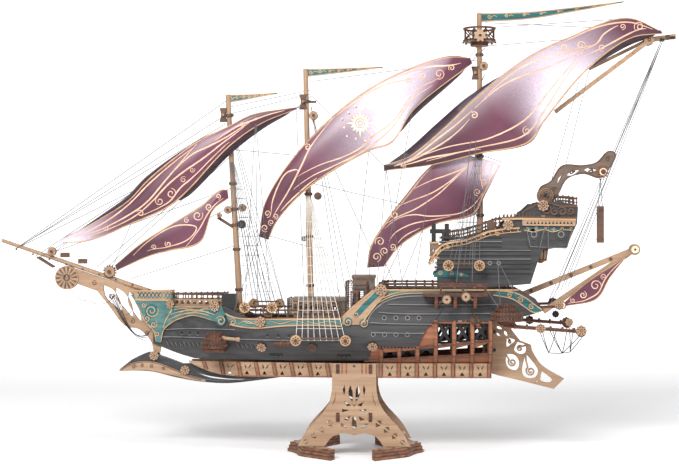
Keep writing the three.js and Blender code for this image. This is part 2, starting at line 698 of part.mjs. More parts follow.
function craneArm() {
  const outline = smooth(
    [[197, 160], [204, 170], [212, 184], [228, 189], [243, 185], [252, 195], [257, 206], [250, 209],
      [240, 199], [226, 196], [208, 196], [198, 182], [188, 176], [186, 166], [197, 160]],
    28,
  ).slice(1);
  const arm = plateXZ(outline, -armHalf, armHalf, [[[203, 178], [208, 188], [204, 184]]]);
  const hole = discY(...drum, PIN_R + 1 + RUN, PLY * 2, 16);
  return arm.subtract(hole).add(discY(sprocket[0], -armHalf - 1.6, sprocket[2], PIN_R, 4.4, 12));
}

// The drum stands on the castle deck between two cheeks, and its axle carries the arm.
function craneDrum() {
  const parts = [];
  for (const [, side] of SIDES) {
    const [y0, y1] = span(side, armHalf + GAP, armHalf + GAP + PLY);
    parts.push(rod([drum[0], y0, drum[2]], [drum[0], y1, drum[2]], DRUM_R, DRUM_R, 18));
    parts.push(box([drum[0] - 4, drum[0] + 4], [y0, y1], [castleDeck + GAP, drum[2]]));
  }
  parts.push(box([drum[0] - 7, drum[0] + 7], [-8, 8], [castleDeck + GAP, castleDeck + GAP + PLY]));
  parts.push(discY(...drum, PIN_R + 1, 2 * armHalf + 2 * PLY, 16));
  return joined(parts);
}

function craneSprocket() {
  const teeth = 8;
  const outline = [];
  for (let i = 0; i < teeth * 4; i++) {
    const turn = (2 * Math.PI * i) / (teeth * 4);
    const r = i % 4 < 2 ? SPROCKET_R : SPROCKET_R - 1.6;
    outline.push([sprocket[0] + r * Math.cos(turn), sprocket[2] + r * Math.sin(turn)]);
  }
  const bore = circle(sprocket[0], sprocket[2], (PIN_R + RUN) / Math.cos(Math.PI / 12), 12);
  const front = -armHalf - GAP;
  return plateXZ(outline, front - 2.4, front, [bore]);
}

// A slab weight on two threads that meet in an eye under the sprocket.
function craneWeight() {
  const top = hangZ - WEIGHT_DROP;
  const y = -armHalf - GAP - 1.2;
  const slab = box([hangX - 3, hangX + 3], [y - 3, y + 3], [top - 34, top]);
  return joined([
    slab,
    thread([hangX, y, hangZ], [hangX - 2, y, top - 1]),
    thread([hangX, y, hangZ], [hangX + 2, y, top - 1]),
    discY(hangX, y, hangZ, 0.9, 1.2, 8),
  ]);
}

add(ship, "crane_arm", craneArm(), wood);
add(ship, "crane_drum", craneDrum(), wood);
add(ship, "crane_sprocket", craneSprocket(), brown);
add(ship, "crane_weight", craneWeight(), brown);

// ---------- Masts with their pennants ----------
const masts = {
  fore: { foot: [-93.5, 0, MAIN_DECK + GAP], head: [-105.5, 0, 264] },
  main: { foot: [-27.2, 0, 73 + GAP], head: [-32, 0, 288] },
  mizzen: { foot: [132, 0, QUARTER_DECK + GAP], head: [130.9, 0, 339] },
};

function mastPoint({ foot, head }, z) {
  const t = (z - foot[2]) / (head[2] - foot[2]);
  return [lerp(foot[0], head[0], t), 0, z];
}

function mastRadius({ foot, head }, z) {
  return lerp(MAST_R, MAST_TOP_R, (z - foot[2]) / (head[2] - foot[2]));
}

function mast(name, flag) {
  const { foot, head } = masts[name];
  const pole = rod(foot, head, MAST_R, MAST_TOP_R, 8);
  const cardHalf = CARD / 2;
  return pole.add(plateXZ(flag, -cardHalf, cardHalf));
}

function pennant(head, height, length, tipRise) {
  const [x, , z] = head;
  const top = smooth([[x, z], [x + length * 0.4, z + tipRise * 0.15], [x + length, z + tipRise]], 6);
  const bottom = smooth(
    [[x + length, z + tipRise - 1], [x + length * 0.4, z - height * 0.6], [x, z - height]],
    6,
  );
  return [...top, ...bottom];
}

add(ship, "mast_fore", mast("fore", pennant(masts.fore.head, 8, 47, 1.5)), wood);
add(ship, "mast_main", mast("main", pennant(masts.main.head, 8, 73, 1.5)), wood);
add(ship, "mast_mizzen", mast("mizzen", pennant(masts.mizzen.head, 8.5, 134, 10)), wood);

function crowsNest() {
  const [floor, rim] = [312, 325];
  const [x] = mastPoint(masts.mizzen, floor);
  const bore = MAST_R + GAP;
  const parts = [
    turned([[bore, floor], [NEST_R, floor], [NEST_R, floor + 2], [bore, floor + 2]], x, 0, 16),
    turned([[NEST_R - 2, rim - 1.6], [NEST_R, rim - 1.6], [NEST_R, rim], [NEST_R - 2, rim]], x, 0, 16),
    turned([[bore, floor - 4], [NEST_R * 0.55, floor - 4], [NEST_R * 0.55, floor], [bore, floor]], x, 0, 12),
  ];
  for (let i = 0; i < 8; i++) {
    const turn = (Math.PI * (2 * i + 1)) / 8;
    const at = [x + (NEST_R - 1) * Math.cos(turn), (NEST_R - 1) * Math.sin(turn)];
    parts.push(rod([...at, floor + 1], [...at, rim - 0.5], 0.7, 0.7, 4));
  }
  return joined(parts);
}
add(ship, "crows_nest", crowsNest(), wood);

// ---------- Sails: stiff card sheets between an upper and a lower edge, bellied to port ----------
const spankerY = -(0.25 * PLY + CARD / 2 + 0.05); // against the face of the yard's blocks
const sailEdges = {
  sail_fore_upper: {
    upper: [[-266, -7, 126], [-226, -13, 146], [-197, -15, 164], [-177, -16, 185], [-131, -16, 220],
      [-104, -15, 232.5], [-81, -13, 244], [-40, -9, 251]],
    lower: [[-264, -7, 124], [-234, -14, 126], [-196, -16, 141], [-158, -16, 158], [-143, -15, 171],
      [-103, -13, 214], [-72, -11, 236], [-40, -9, 249]],
    belly: 4,
  },
  sail_jib: {
    upper: [[-212, -5, 103], [-187, -8, 123.6], [-156, -9, 143], [-130, -9, 159], [-111, -8, 174],
      [-105, -7, 174]],
    lower: [[-210, -5, 98], [-177, -8, 112], [-159, -9, 116.4], [-131, -9, 124], [-119, -9, 154],
      [-104, -7, 166]],
    belly: 2,
  },
  sail_main_upper: {
    upper: [[-75, -10, 130], [-69, -12, 162], [-40, -14, 207], [6, -15, 252], [50, -15, 280],
      [103, -12, 297.7], [122, -10, 296]],
    lower: [[-66, -10, 127], [-57, -12, 145], [-27, -14, 176], [28, -15, 209], [49, -15, 216], [68, -14, 246],
      [124, -10, 291]],
    belly: 5,
  },
  sail_mizzen_lower: {
    upper: [[26, -7, 101], [29, -8, 120], [44, -9, 145], [62, -9, 168.5], [80, -8, 190.6], [103, -6.5, 210]],
    lower: [[42, -7, 102], [58, -9, 122], [92, -10, 142], [127, -9, 151], [136, -7.5, 168.5],
      [152, -5.5, 198]],
    belly: 2,
  },
  sail_mizzen_top: {
    upper: [[42, -14, 196.5], [64, -14, 204], [98, -15, 231.6], [126, -16, 259], [176, -16, 297],
      [211, -14, 313.5], [265, -12, 332], [298, -9, 319.5]],
    lower: [[42, -14, 191], [87, -14, 196.7], [131, -14, 206.6], [177, -15, 216.5], [190, -15, 235.5],
      [231, -14, 285], [270, -11, 313], [299, -9, 317.5]],
    belly: 5,
  },
  sail_spanker: {
    upper: [[270, 113.8], [252, 102], [231, 88.3], [209, 68]].map(([x, z]) => [x, spankerY, z]),
    lower: [[266, 110], [252, 92], [240, 72], [210, 65]].map(([x, z]) => [x, spankerY, z]),
    belly: 0.8,
  },
};

function sail({ upper, lower, belly }) {
  const edge = (points) => {
    const knots = points.map((p) => new THREE.Vector3(...p));
    return new THREE.CatmullRomCurve3(knots, false, "centripetal");
  };
  const [top, bottom] = [edge(upper), edge(lower)];
  const face = (shift) => (u, v) => {
    const [a, b] = [top.getPoint(u), bottom.getPoint(u)];
    const crown = belly * 4 * v * (1 - v) * Math.sin(Math.PI * u);
    return [lerp(a.x, b.x, v), lerp(a.y, b.y, v) - crown + shift, lerp(a.z, b.z, v)];
  };
  return sheet(face(-CARD / 2), face(CARD / 2), 14, 4);
}
for (const [name, edges] of Object.entries(sailEdges)) add(ship, name, sail(edges), purple);

// ---------- Yards ----------
function bar(a, b, wide, y0, y1) {
  const along = new THREE.Vector2(b[0] - a[0], b[1] - a[1]).normalize();
  const [dx, dz] = [(-along.y * wide) / 2, (along.x * wide) / 2];
  const corners = [a, b].map(([x, z]) => [[x + dx, z + dz], [x - dx, z - dz]]);
  corners[1].reverse();
  return plateXZ(corners.flat(), y0, y1);
}

// The peak boom's two arms and its hub, and the bracket that runs out to the tip.
function mizzenBoom() {
  return joined([
    bar([287, 311], [201, 246], 4, -4.5, -1.5),
    bar([287, 313], [233, 286.5], 3, 1.5, 4.5),
    bar([284, 312.5], [312.6, 316], 4.5, -1.6, 1.6),
    discY(287.6, 0, 312.4, 4.7, 9, 14),
  ]);
}

function spankerYard() {
  const hub = [274.9, 118];
  const root = [168.6, 75];
  return joined([
    bar(root, hub, 5, 0, PLY),
    bar([190.5, 60], hub, 5, 0, PLY),
    discY(hub[0], PLY / 2, hub[1], 5.2, PLY * 1.8, 14),
    discY(207.8, PLY / 2, 66, 4, PLY * 1.5, 12),
    bar([207.8, 66], [204, 72], 4, 0, PLY),
  ]);
}
add(ship, "mizzen_boom", mizzenBoom(), wood);
add(ship, "spanker_yard", spankerYard(), wood);

// ---------- Ratlines: shrouds from a lashing round the mast, out to the channels, tied by rungs ----------
const lashingR = (name, z) => (mastRadius(masts[name], z) + GAP) / Math.cos(Math.PI / 10);

const lashing = (name, z) => {
  const [x] = mastPoint(masts[name], z);
  const inner = lashingR(name, z);
  return turned([[inner, z - 1], [inner + 1.4, z - 1], [inner + 1.4, z + 1], [inner, z + 1]], x, 0, 10);
};

function ratlines(name, topZ, [footFore, footAft], footY, footZ, strings, rungs) {
  const [x] = mastPoint(masts[name], topZ);
  const parts = [lashing(name, topZ)];
  for (const [, side] of SIDES) {
    const point = (s, t) => {
      const foot = [lerp(footFore, footAft, s), side * footY, footZ];
      const head = [x + lerp(-1.5, 1.5, s), side * (lashingR(name, topZ) + 0.7), topZ];
      return head.map((value, i) => lerp(value, foot[i], t));
    };
    for (let i = 0; i < strings; i++) {
      const s = i / (strings - 1);
      parts.push(thread(point(s, 0), point(s, 1)));
    }
    for (let j = 1; j <= rungs; j++) parts.push(thread(point(0, j / rungs), point(1, j / rungs)));
    for (const s of [0, 1]) {
      const [fx, fy, fz] = point(s, 1);
      parts.push(discY(fx, fy, fz, 4.9, 2.4, 8));
    }
  }
  return joined(parts);
}

add(ship, "ratlines_fore", ratlines("fore", 200, [-85, -60], CHANNEL_Y - 14, 65, 3, 3), cord);
add(ship, "ratlines_main", ratlines("main", 168, [-37, 8], CHANNEL_Y, 36, 4, 3), cord);
add(ship, "ratlines_mizzen", ratlines("mizzen", 216.5, [101, 129], CHANNEL_Y - 6, 104, 3, 3), cord);

// ---------- Stays: taut threads that fan out from one knot ----------
function fan(knot, ends) {
  const parts = [rod([knot[0], knot[1] - 0.8, knot[2]], [knot[0], knot[1] + 0.8, knot[2]], 1, 1, 8)];
  for (const end of ends) parts.push(thread(knot, end));
  return joined(parts);
}

const spritKnot = [spritTip[0] + 4, 4, spritTip[2] + 1];
add(ship, "stays_bow", fan(spritKnot, [[-118, 5, 240], [-36, 9, 270], [-109, 5, 262]]), cord);
const peakKnot = [300, 6.5, 312];
add(ship, "stays_aft", fan(peakKnot, [[205, 14, 80], [196, 12, 68], [212, 14, 84]]), cord);

// ---------- The origin is under the middle of the whole object ----------
const extent = new THREE.Box3().setFromObject(model);
model.position.x = -(extent.min.x + extent.max.x) / 2;

export default model;
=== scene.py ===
from math import ceil, cos, dist, exp, pi, radians, sin

import bmesh
import bpy
import numpy as np
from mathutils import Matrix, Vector
from mathutils.geometry import delaunay_2d_cdt


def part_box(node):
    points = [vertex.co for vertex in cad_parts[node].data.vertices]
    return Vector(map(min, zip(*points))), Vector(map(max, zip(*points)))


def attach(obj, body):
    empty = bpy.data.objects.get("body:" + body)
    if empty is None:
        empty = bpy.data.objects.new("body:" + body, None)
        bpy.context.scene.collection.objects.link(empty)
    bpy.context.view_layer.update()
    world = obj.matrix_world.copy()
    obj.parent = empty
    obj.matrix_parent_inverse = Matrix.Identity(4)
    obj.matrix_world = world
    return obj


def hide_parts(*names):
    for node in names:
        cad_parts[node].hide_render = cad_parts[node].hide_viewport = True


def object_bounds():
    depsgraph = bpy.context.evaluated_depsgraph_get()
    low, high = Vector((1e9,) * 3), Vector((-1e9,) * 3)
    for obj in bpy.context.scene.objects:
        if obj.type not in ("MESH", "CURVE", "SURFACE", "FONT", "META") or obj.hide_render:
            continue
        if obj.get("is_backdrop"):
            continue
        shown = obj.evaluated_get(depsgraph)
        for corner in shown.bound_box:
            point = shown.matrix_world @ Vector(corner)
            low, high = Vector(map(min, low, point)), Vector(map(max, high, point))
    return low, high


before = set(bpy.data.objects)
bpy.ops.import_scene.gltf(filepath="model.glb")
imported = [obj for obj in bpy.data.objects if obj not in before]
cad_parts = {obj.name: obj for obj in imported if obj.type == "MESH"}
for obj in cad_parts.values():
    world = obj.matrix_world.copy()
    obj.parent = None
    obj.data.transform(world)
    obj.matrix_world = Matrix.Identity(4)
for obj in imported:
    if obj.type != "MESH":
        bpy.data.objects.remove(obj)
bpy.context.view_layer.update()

keel_low, keel_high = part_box("keel_plate")
KEEL_MIDDLE = 23  # mm from the ship's zero aft to the middle of the keel plate
SHIFT = (keel_low.x + keel_high.x) * 500 - KEEL_MIDDLE
KEEL = keel_low.z * 1000
SIDES = (("port", -1), ("starboard", 1))


def metres(p):
    return ((p[0] + SHIFT) / 1000, p[1] / 1000, (p[2] + KEEL) / 1000)


def cad(node):
    """The lowest and highest corner of a CAD node, in the ship's millimetres."""
    return [Vector((c.x * 1000 - SHIFT, c.y * 1000, c.z * 1000 - KEEL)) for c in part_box(node)]


# ---------- Camera, light and floor ----------
CAMERA_TURN, CAMERA_DISTANCE, CAMERA_HEIGHT = radians(3), 1.35, 0.2063
FLOOR_SPAN, FLOOR_FRONT, FLOOR_BACK, FLOOR_BEND, FLOOR_RISE = 14.0, -5.5, 5.5, 0.8, 4.5


def camera():
    data = bpy.data.cameras.new("camera")
    data.lens, data.sensor_width = 76.14, 36
    data.clip_start, data.clip_end = 0.05, 30
    viewer = bpy.data.objects.new("camera", data)
    back = Vector((sin(CAMERA_TURN), -cos(CAMERA_TURN), 0))
    viewer.location = Vector((SHIFT / 1000, 0, CAMERA_HEIGHT)) + back * CAMERA_DISTANCE
    viewer.rotation_euler = (-back).to_track_quat("-Z", "Y").to_euler()
    bpy.context.scene.collection.objects.link(viewer)
    bpy.context.scene.camera = viewer


def softbox(name, place, aim_height, size, watts):
    """A rectangular light that faces a point above the ship's middle."""
    data = bpy.data.lights.new(name, "AREA")
    data.shape, data.size, data.size_y = "RECTANGLE", *size
    data.energy = watts
    lamp = bpy.data.objects.new(name, data)
    lamp.location = place
    lamp.rotation_euler = (Vector((0, 0, aim_height)) - Vector(place)).to_track_quat("-Z", "Y").to_euler()
    bpy.context.scene.collection.objects.link(lamp)


def studio():
    """Soft light, and a paper floor that curves up behind and glows towards white with distance."""
    world = bpy.context.scene.world or bpy.data.worlds.new("studio")
    bpy.context.scene.world = world
    world.use_nodes = True
    world.node_tree.nodes["Background"].inputs["Color"].default_value = (1, 1, 1, 1)
    world.node_tree.nodes["Background"].inputs["Strength"].default_value = 0.5
    softbox("key", (-0.45, -1.5, 1.15), 0.15, (0.7, 0.5), 33)
    softbox("fill", (1.3, -0.8, 0.5), 0.15, (0.8, 0.8), 5)
    softbox("sail_gloss", (0.5, -0.9, 1.9), 0.3, (0.7, 0.5), 10)
    bpy.context.scene.view_settings.view_transform = "Standard"
    paper = Finish("floor_paper", 0.85)
    paper.set("Base Color", (0.93, 0.925, 0.93, 1))
    paper.set("Emission Color", (1, 1, 1, 1))
    far = paper.calc("SUBTRACT", paper.split(paper.place)["Y"], 0.5, True)
    paper.link(paper.calc("MULTIPLY", far, 0.6), "Emission Strength")
    bend = FLOOR_BACK - FLOOR_BEND
    profile = [(FLOOR_FRONT, 0.0), (0.0, 0.0), (bend, 0.0)]
    profile += [(bend + FLOOR_BEND * sin(a),
                 FLOOR_BEND - FLOOR_BEND * cos(a)) for a in np.linspace(0.1, pi / 2, 14)]
    profile += [(FLOOR_BACK, FLOOR_RISE)]
    verts = [(x, y, z) for y, z in profile for x in (-FLOOR_SPAN / 2, FLOOR_SPAN / 2)]
    faces = [(2 * i, 2 * i + 1, 2 * i + 3, 2 * i + 2) for i in range(len(profile) - 1)]
    mesh = bpy.data.meshes.new("floor")
    mesh.from_pydata(verts, [], faces)
    mesh.polygons.foreach_set("use_smooth", [True] * len(faces))
    mesh.materials.append(paper.material)
    floor = bpy.data.objects.new("floor", mesh)
    bpy.context.scene.collection.objects.link(floor)
    floor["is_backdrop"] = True


# ---------- Materials ----------
def linear(rgb):
    return tuple(c / 12.92 if c <= 0.04045 else ((c + 0.055) / 1.055) ** 2.4 for c in rgb) + (1,)


class Finish:
    """A node material, with short calls for the nodes that feed its shader."""

    def __init__(self, name, rough):
        self.material = bpy.data.materials.new(name)
        self.material.use_nodes = True
        self.nodes, self.links = self.material.node_tree.nodes, self.material.node_tree.links
        self.shader = self.nodes["Principled BSDF"]
        coordinates = self.nodes.new("ShaderNodeTexCoord").outputs
        self.place, self.normal = coordinates["Object"], coordinates["Normal"]
        self.set("Roughness", rough)

    def set(self, socket, value):
        self.shader.inputs[socket].default_value = value

    def link(self, source, socket):
        self.links.new(source, self.shader.inputs[socket])

    def split(self, vector):
        node = self.nodes.new("ShaderNodeSeparateXYZ")
        self.links.new(vector, node.inputs["Vector"])
        return node.outputs

    def noise(self, scale, detail=4.0, rough=0.55):
        mapping = self.nodes.new("ShaderNodeMapping")
        mapping.inputs["Scale"].default_value = scale
        self.links.new(self.place, mapping.inputs["Vector"])
        texture = self.nodes.new("ShaderNodeTexNoise")
        for socket, value in (("Scale", 1.0), ("Detail", detail), ("Roughness", rough)):
            texture.inputs[socket].default_value = value
        self.links.new(mapping.outputs["Vector"], texture.inputs["Vector"])
        return texture.outputs["Fac"]

    def ramp(self, factor, *stops):
        node = self.nodes.new("ShaderNodeValToRGB")
        elements = node.color_ramp.elements
        for element, (place, colour) in zip(elements, (stops[0], stops[-1])):
            element.position, element.color = place, linear(colour)
        for place, colour in stops[1:-1]:
            elements.new(place).color = linear(colour)
        self.links.new(factor, node.inputs["Fac"])
        return node.outputs["Color"]

    def calc(self, operation, a, b=None, clamp=False):
        node = self.nodes.new("ShaderNodeMath")
        node.operation, node.use_clamp = operation, clamp
        for value, socket in zip((a, b), node.inputs):
            if isinstance(value, (int, float)):
                socket.default_value = value
            elif value is not None:
                self.links.new(value, socket)
        return node.outputs["Value"]

    def mix(self, factor, a, b):
        node = self.nodes.new("ShaderNodeMix")
        node.data_type = "RGBA"
        for value, socket in ((factor, node.inputs[0]), (a, node.inputs[6]), (b, node.inputs[7])):
            if isinstance(value, tuple):
                socket.default_value = linear(value)
            else:
                self.links.new(value, socket)
        return node.outputs[2]

    def cut_edge(self, axis, least):
        """1 where a face looks away from an axis, as a sheet's cut edges do."""
        return self.calc("LESS_THAN", self.calc("ABSOLUTE", self.split(self.normal)[axis]), least)

    def bump(self, height, distance, strength):
        node = self.nodes.new("ShaderNodeBump")
        node.inputs["Strength"].default_value = strength
        node.inputs["Distance"].default_value = distance
        self.links.new(height, node.inputs["Height"])
        self.link(node.outputs["Normal"], "Normal")


BURNT = ((0.15, 0.08, 0.055), (0.38, 0.2, 0.12))  # laser-cut edges, darkest and lightest
GRAIN_X, GRAIN_Y, GRAIN_Z = (14, 260, 260), (260, 14, 260), (260, 260,
                                                             12)  # noise scales: the grain runs along


def wood(name, pale, deep, axis, burnt=BURNT, layer=None, grain=GRAIN_X):
    """Plywood whose faces look along an axis (0, 1 or 2; None for a turned piece); its cut edges are burnt."""
    finish = Finish(name, 0.62)
    streaks = finish.noise(grain, 5.0, 0.6)
    blotches = finish.noise((9, 22, 22), 2.0)
    middle = tuple((a + b) / 2 for a, b in zip(pale, deep))
    colour = finish.ramp(streaks, (0.3, deep), (0.47, middle), (0.68, pale))
    colour = finish.mix(finish.calc("MULTIPLY", blotches, 0.35), colour, middle)
    if axis is not None:
        scorched = finish.ramp(finish.noise((160, 160, 420), 3.0), (0.32, burnt[0]), (0.68, burnt[1]))
        if layer:  # glue lines between the sheets of a stack
            step = finish.calc("FRACT", finish.calc("DIVIDE", finish.split(finish.place)[2], layer))
            off_middle = finish.calc("ABSOLUTE", finish.calc("SUBTRACT", step, 0.5))
            scorched = finish.mix(finish.calc("GREATER_THAN", off_middle, 0.36), scorched, (0.09, 0.05, 0.04))
        colour = finish.mix(finish.cut_edge(axis, 0.6), colour, scorched)
    finish.link(colour, "Base Color")
    finish.bump(streaks, 0.0004, 0.35)
    return finish.material


def paint(name, dark_tone, light_tone, rough=0.5, axis=None, coat=0.0):
    """Painted ply: the grain shows through, and the cut edges of a sheet stay bare and burnt."""
    finish = Finish(name, rough)
    streaks = finish.noise((20, 240, 240), 4.0, 0.6)
    colour = finish.ramp(streaks, (0.3, dark_tone), (0.7, light_tone))
    if axis is not None:
        colour = finish.mix(finish.cut_edge(axis, 0.45), colour, (0.1, 0.07, 0.06))
    finish.link(colour, "Base Color")
    finish.set("Coat Weight", coat)
    finish.bump(streaks, 0.0003, 0.25)
    return finish.material


def print_with_painted_light(name):
    """Satin-laminated card: a purple print, with painted light from the piece's own per-point layer: a painted
    highlight pales it to pearl where the layer is over 0, and painted shade darkens it where the layer is under 0.
    """
    finish = Finish(name, 0.36)
    cloud = finish.noise((14, 14, 14), 3.0)
    fleck = finish.noise((900, 900, 900), 2.0)
    purple = finish.ramp(cloud, (0.3, (0.25, 0.11, 0.17)), (0.55, (0.37, 0.19, 0.26)),
                         (0.8, (0.47, 0.27, 0.36)))
    layer = finish.nodes.new("ShaderNodeAttribute")
    layer.attribute_name = "painted_light"
    # painted shade: where the layer is under 0, the print darkens towards a deep purple-brown
    shade = finish.calc("MULTIPLY", layer.outputs["Fac"], -1.0, True)
    purple = finish.mix(shade, purple, (0.13, 0.055, 0.075))
    # painted highlight: where the layer is over 0, the print pales to a flecked pearl
    painted_light = finish.calc("MULTIPLY", layer.outputs["Fac"], finish.calc("ADD", fleck, 0.5), True)
    finish.link(finish.mix(painted_light, purple, (0.87, 0.82, 0.87)), "Base Color")
    finish.set("Sheen Weight", 0.25)
    finish.set("Sheen Roughness", 0.4)
    finish.bump(fleck, 0.0001, 0.2)
    return finish.material


def twine(name, tone, light_tone):
    finish = Finish(name, 0.85)
    twist = finish.noise((1200, 1200, 1200), 2.0)
    finish.link(finish.ramp(twist, (0.3, tone), (0.7, light_tone)), "Base Color")
    finish.bump(twist, 0.0001, 0.4)
    return finish.material


studio()
camera()

TAN, TAN_DEEP = (0.66, 0.545, 0.44), (0.53, 0.41, 0.31)
RUST, RUST_DEEP = (0.62, 0.39, 0.26), (0.4, 0.23, 0.15)
CHAR = (0.12, 0.115, 0.12), (0.24, 0.235, 0.24)
mats = {
    "ply_x": wood("ply_x", TAN, TAN_DEEP, 0, grain=GRAIN_Y),
    "ply_y": wood("ply_y", TAN, TAN_DEEP, 1),
    "ply_z": wood("ply_z", TAN, TAN_DEEP, 2),
    "ply_turned": wood("ply_turned", TAN, TAN_DEEP, None, grain=GRAIN_Z),
    "foot": wood("foot", TAN, TAN_DEEP, 2, burnt=((0.33, 0.19, 0.13), (0.58, 0.38, 0.27)), layer=0.003),
    "rust_x": wood("rust_x", RUST, RUST_DEEP, 0, grain=GRAIN_Y),
    "rust_y": wood("rust_y", RUST, RUST_DEEP, 1),
    "rust_z": wood("rust_z", RUST, RUST_DEEP, 2),
    "bark": wood("bark", (0.4, 0.28, 0.21), (0.24, 0.16, 0.12), None),
    "taupe": wood("taupe", (0.47, 0.39, 0.33), (0.33, 0.26, 0.22), 1),
    "boards": wood("boards", (0.5, 0.43, 0.37), (0.33, 0.27, 0.23), None),
    "char": paint("char", *CHAR),
    "char_edge": paint("char_edge", *CHAR, axis=1),
    "black": paint("black", (0.035, 0.033, 0.035), (0.07, 0.065, 0.066), 0.55),
    "plank": paint("plank", (0.36, 0.36, 0.37), (0.5, 0.49, 0.48), 0.55),
    "teal": paint("teal", (0.04, 0.2, 0.22), (0.09, 0.42, 0.43), 0.38, coat=0.2),
    "teal_pale": paint("teal_pale", (0.13, 0.33, 0.34), (0.34, 0.48, 0.45), 0.42),
    "gilt": paint("gilt", (0.6, 0.46, 0.33), (0.76, 0.62, 0.46), 0.4),
    "rose": paint("rose", (0.76, 0.59, 0.49), (0.9, 0.76, 0.66), 0.4),
    "cream": paint("cream", (0.88, 0.8, 0.64), (0.97, 0.92, 0.8)),
    "sail": print_with_painted_light("sail"),
    "sail_back": paint("sail_back", (0.14, 0.08, 0.12), (0.24, 0.13, 0.19)),
    "thread": twine("thread", (0.06, 0.06, 0.065), (0.16, 0.16, 0.165)),
    "thread_grey": twine("thread_grey", (0.26, 0.25, 0.26), (0.44, 0.43, 0.44)),
    "thread_white": twine("thread_white", (0.72, 0.69, 0.66), (0.9, 0.88, 0.85)),
}


def dress(material, slot, *nodes):
    """Gives carried-over CAD nodes their finish."""
    for name in nodes:
        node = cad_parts[name]
        node.data.materials.clear()
        node.data.materials.append(mats[material])


# ---------- Hull form ----------
BEAM, STEM_X, STERN_X, MIDSHIP_X = 90, -176, 188, 20
TURRET_FORE_X, TURRET_FORE_Z = -113, 28  # the forward turrets' pins and shelves
BAND, WALE, SHEER = 13.5, 40, 82
SWEEP_X, SWEEP_RUN = -95, 48  # where the gallery band starts to sweep up forward, and over what run
FRAME_X, FRAME_STEP = 139, 16.6  # the aftmost frame, and the step from one frame to the next
SKIN = 3.4  # the skin's outer face over the hull form


def plan_share(x):
    if x < MIDSHIP_X:
        return 1 - min(1, (MIDSHIP_X - x) / (MIDSHIP_X - STEM_X)) ** 2.2
    return 1 - 0.18 * ((x - MIDSHIP_X) / (STERN_X - MIDSHIP_X)) ** 2


def section_share(z):
    if z < BAND:
        return 0.58
    if z < WALE:
        return 0.58 + 0.42 * sin((z - BAND) / (WALE - BAND) * pi / 2)
    return 1 - 0.1 * min(1, (z - WALE) / (SHEER - WALE))


def half_beam(x, z):
    return BEAM / 2 * plan_share(x) * section_share(z)


def band_foot(x):
    """The lower edge of the gallery band."""
    return BAND * ((SWEEP_X - x) / SWEEP_RUN) ** 2 if x < SWEEP_X else 0


# ---------- Surfaces: each takes (u, v, height above the surface) to a point ----------
def hull(side, least=0.0, off=0.0):
    return lambda x, z, h: (x, side * (max(half_beam(x, z), least) + off + h), z)


def upright(y, side=1):
    return lambda x, z, h: (x, y + side * h, z)


def level(z0, way=1):
    return lambda x, y, h: (x, y, z0 + way * h)


def across(x0, way=1):
    return lambda y, z, h: (x0 + way * h, y, z)


def tangent(surf, u, v):
    """A flat surface that touches surf at (u, v), with its own zero there."""
    origin = Vector(surf(u, v, 0))
    along = (Vector(surf(u + 0.5, v, 0)) - Vector(surf(u - 0.5, v, 0))).normalized()
    up = (Vector(surf(u, v + 0.5, 0)) - Vector(surf(u, v - 0.5, 0))).normalized()
    out = along.cross(up).normalized()
    if out.dot(Vector(surf(u, v, 1)) - origin) < 0:
        out = -out
    square = out.cross(along).normalized()
    up = square if square.dot(up) > 0 else -square
    return lambda a, b, h: tuple(origin + along * a + up * b + out * h)


def facing(origin, normal):
    """A flat surface at a point, looking along normal, with its first axis as near to x as it can be."""
    origin, out, right = Vector(origin), Vector(normal).normalized(), Vector((1, 0, 0))
    right = (right - out * out.dot(right)).normalized()
    up = out.cross(right)
    return lambda a, b, h: tuple(origin + right * a + up * b + out * h)


# ---------- Lines and outlines ----------
def lerp(a, b, t):
    return a + (b - a) * t


def smooth(points, n):
    """n + 1 points on a uniform Catmull-Rom curve through these points."""
    made, last = [], len(points) - 1
    pts = [np.array(p, float) for p in points]
    for k in range(n + 1):
        where = last * k / n
        i = min(int(where), last - 1)
        t = where - i
        p0, p1, p2, p3 = pts[max(i - 1, 0)], pts[i], pts[i + 1], pts[min(i + 2, last)]
        a, b = (p2 - p0) / 2, (p3 - p1) / 2
        made.append(tuple((2 * p1 - 2 * p2 + a + b) * t**3 + (-3 * p1 + 3 * p2 - 2 * a - b) * t**2 + a * t + p1))
    return made


def circle(cx, cy, r, n=20, start=0.0):
    return [(cx + r * cos(start + 2 * pi * i / n), cy + r * sin(start + 2 * pi * i / n)) for i in range(n)]


def rect(x, z, w, h):
    return [(x - w / 2, z - h / 2), (x + w / 2, z - h / 2), (x + w / 2, z + h / 2), (x - w / 2, z + h / 2)]


def spiral(cx, cy, r, start, turns, inner=0.18, steps=16):
    """From the rim inwards; a positive count of turns runs anticlockwise."""
    n = max(6, int(abs(turns) * steps))
    return [
        (cx + r * lerp(1, inner, t) * cos(start + 2 * pi * turns * t),
         cy + r * lerp(1, inner, t) * sin(start + 2 * pi * turns * t))
        for t in (k / n for k in range(n + 1))
    ]


def dense(loop, step):
    """The same loop with long sides cut up, so that it can follow a curved surface."""
    made = []
    for a, b in zip(loop, [*loop[1:], loop[0]]):
        n = max(1, ceil(dist(a, b) / step))
        made += [tuple(lerp(a[k], b[k], i / n) for k in (0, 1)) for i in range(n)]
    return made


def inside(points, loops):
    odd = np.zeros(len(points), bool)
    x, y = points[:, 0:1], points[:, 1:2]
    for loop in loops:
        a = np.array(loop, float)
        b = np.roll(a, -1, axis=0)
        rise = np.where(b[:, 1] == a[:, 1], 1e-12, b[:, 1] - a[:, 1])
        cross = (a[:, 1] > y) != (b[:, 1] > y)
        hit = cross & (x < (b[:, 0] - a[:, 0]) * (y - a[:, 1]) / rise + a[:, 0])
        odd ^= (hit.sum(axis=1) % 2).astype(bool)
    return odd


